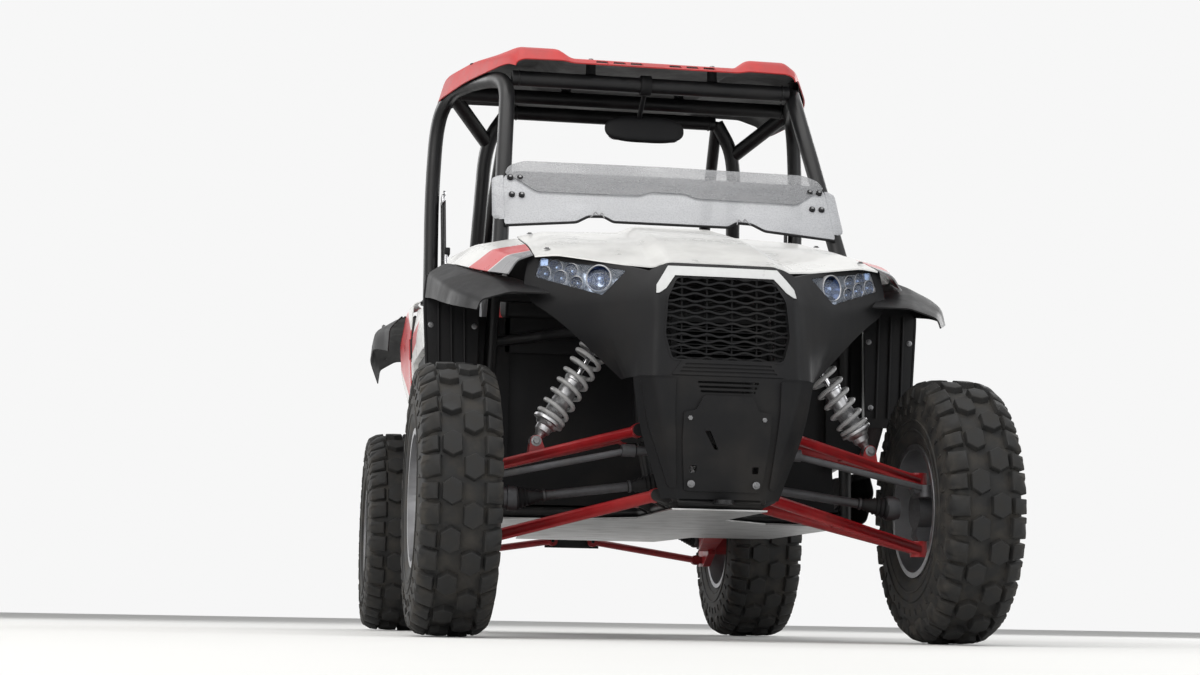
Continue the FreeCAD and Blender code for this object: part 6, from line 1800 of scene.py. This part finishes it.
# Operators: one for each group of pieces, in the order they are made
class BuggyOperator:
    """What the operators share: each runs its build functions on the scene's sizes."""
    bl_options = {"REGISTER", "UNDO"}

    @classmethod
    def poll(cls, context):
        return context.scene is not None

    def run(self, context, *builders):
        """Runs build functions on the scene's sizes."""
        for build in builders:
            build(context.scene.buggy_sizes)
        return {"FINISHED"}


class BuildFinishes(BuggyOperator, Operator):
    """Mixes every finish from the colours in the panel"""
    bl_idname = "buggy.build_finishes"
    bl_label = "Finishes"

    def execute(self, context):
        mix_finishes(context.scene.buggy_colours)
        return {"FINISHED"}


class BuildStage(BuggyOperator, Operator):
    """Makes the floor, the lamps, the surround and the camera"""
    bl_idname = "buggy.build_stage"
    bl_label = "Studio"

    def execute(self, context):
        build_stage(context.scene.buggy_stage)
        return {"FINISHED"}


class BuildNose(BuggyOperator, Operator):
    """Makes the hood, the side covers, the nose, the grille and the headlights"""
    bl_idname = "buggy.build_nose"
    bl_label = "Nose"

    def execute(self, context):
        return self.run(context, build_hood, build_side_covers, build_nose, build_grille, build_headlights,
                        build_bumper)


class BuildSides(BuggyOperator, Operator):
    """Makes the front fenders, the cowl sides, the rockers and the rear body"""
    bl_idname = "buggy.build_sides"
    bl_label = "Side panels"

    def execute(self, context):
        return self.run(context, build_front_fenders, build_lower_sides, build_rear_body)


class BuildDoors(BuggyOperator, Operator):
    """Makes the two half doors on their hinges"""
    bl_idname = "buggy.build_doors"
    bl_label = "Doors"

    def execute(self, context):
        return self.run(context, build_doors)


class BuildCargoBox(BuggyOperator, Operator):
    """Makes the ribbed cargo box behind the seats"""
    bl_idname = "buggy.build_cargo_box"
    bl_label = "Cargo box"

    def execute(self, context):
        return self.run(context, build_cargo_box)


class BuildRoof(BuggyOperator, Operator):
    """Makes the roof panel with its pads and bolts"""
    bl_idname = "buggy.build_roof"
    bl_label = "Roof"

    def execute(self, context):
        return self.run(context, build_roof)


class BuildWindshield(BuggyOperator, Operator):
    """Makes the two windshield panes and the mirror"""
    bl_idname = "buggy.build_windshield"
    bl_label = "Windshield and mirror"

    def execute(self, context):
        return self.run(context, build_windshield, build_mirror)


class BuildCage(BuggyOperator, Operator):
    """Makes the roll cage with its feet"""
    bl_idname = "buggy.build_cage"
    bl_label = "Roll cage"

    def execute(self, context):
        return self.run(context, build_cage)


class BuildCarried(BuggyOperator, Operator):
    """Finishes the frame, the arms, the knuckles and the steering rack"""
    bl_idname = "buggy.build_carried"
    bl_label = "Frame and arms"

    def execute(self, context):
        return self.run(context, build_carried)


class BuildSuspension(BuggyOperator, Operator):
    """Makes the springs, the dampers and the half shafts"""
    bl_idname = "buggy.build_suspension"
    bl_label = "Springs and dampers"

    def execute(self, context):
        return self.run(context, build_springs, build_shocks, build_drive_shafts)


class BuildWheels(BuggyOperator, Operator):
    """Makes the tyres with their lugs, the wheels and their nuts"""
    bl_idname = "buggy.build_wheels"
    bl_label = "Wheels"

    def execute(self, context):
        return self.run(context, build_wheels)


class BuildMachinery(BuggyOperator, Operator):
    """Makes the engine, the differential, the muffler and the radiator"""
    bl_idname = "buggy.build_machinery"
    bl_label = "Machinery"

    def execute(self, context):
        return self.run(context, build_engine, build_front_drive, build_muffler, build_radiator)


class BuildSeats(BuggyOperator, Operator):
    """Makes the padded seats and their belts"""
    bl_idname = "buggy.build_seats"
    bl_label = "Seats and belts"

    def execute(self, context):
        return self.run(context, build_seats, build_belts)


class BuildControls(BuggyOperator, Operator):
    """Makes the dash and the steering wheel"""
    bl_idname = "buggy.build_controls"
    bl_label = "Dash and steering wheel"

    def execute(self, context):
        return self.run(context, build_dash, build_steering_wheel)


OPERATORS = (BuildFinishes, BuildStage, BuildNose, BuildSides, BuildDoors, BuildCargoBox, BuildRoof,
             BuildWindshield, BuildCage, BuildCarried, BuildSuspension, BuildWheels, BuildMachinery,
             BuildSeats, BuildControls)


class BuggyPanel(Panel):
    """Lists the settings and the operators in the sidebar of the 3D view"""
    bl_idname = "VIEW3D_PT_buggy"
    bl_label = "Side by side buggy"
    bl_space_type = "VIEW_3D"
    bl_region_type = "UI"
    bl_category = "Buggy"

    def draw(self, context):
        for group in (context.scene.buggy_sizes, context.scene.buggy_colours, context.scene.buggy_stage):
            box = self.layout.box()
            for key in group.__annotations__:
                box.prop(group, key)
        column = self.layout.column(align=True)
        for operator in OPERATORS:
            column.operator(operator.bl_idname)


GROUPS = {"buggy_sizes": BuggySizes, "buggy_colours": BuggyColours, "buggy_stage": BuggyStage}


def register():
    for cls in (*GROUPS.values(), *OPERATORS, BuggyPanel):
        bpy.utils.register_class(cls)
    for key, group in GROUPS.items():
        setattr(bpy.types.Scene, key, PointerProperty(type=group))


def unregister():
    for key in GROUPS:
        delattr(bpy.types.Scene, key)
    for cls in reversed((*GROUPS.values(), *OPERATORS, BuggyPanel)):
        bpy.utils.unregister_class(cls)


def main():
    """Makes everything in order."""
    register()
    for operator in OPERATORS:
        group, name = operator.bl_idname.split(".")
        getattr(getattr(bpy.ops, group), name)()


if __name__ == "__main__":
    main()
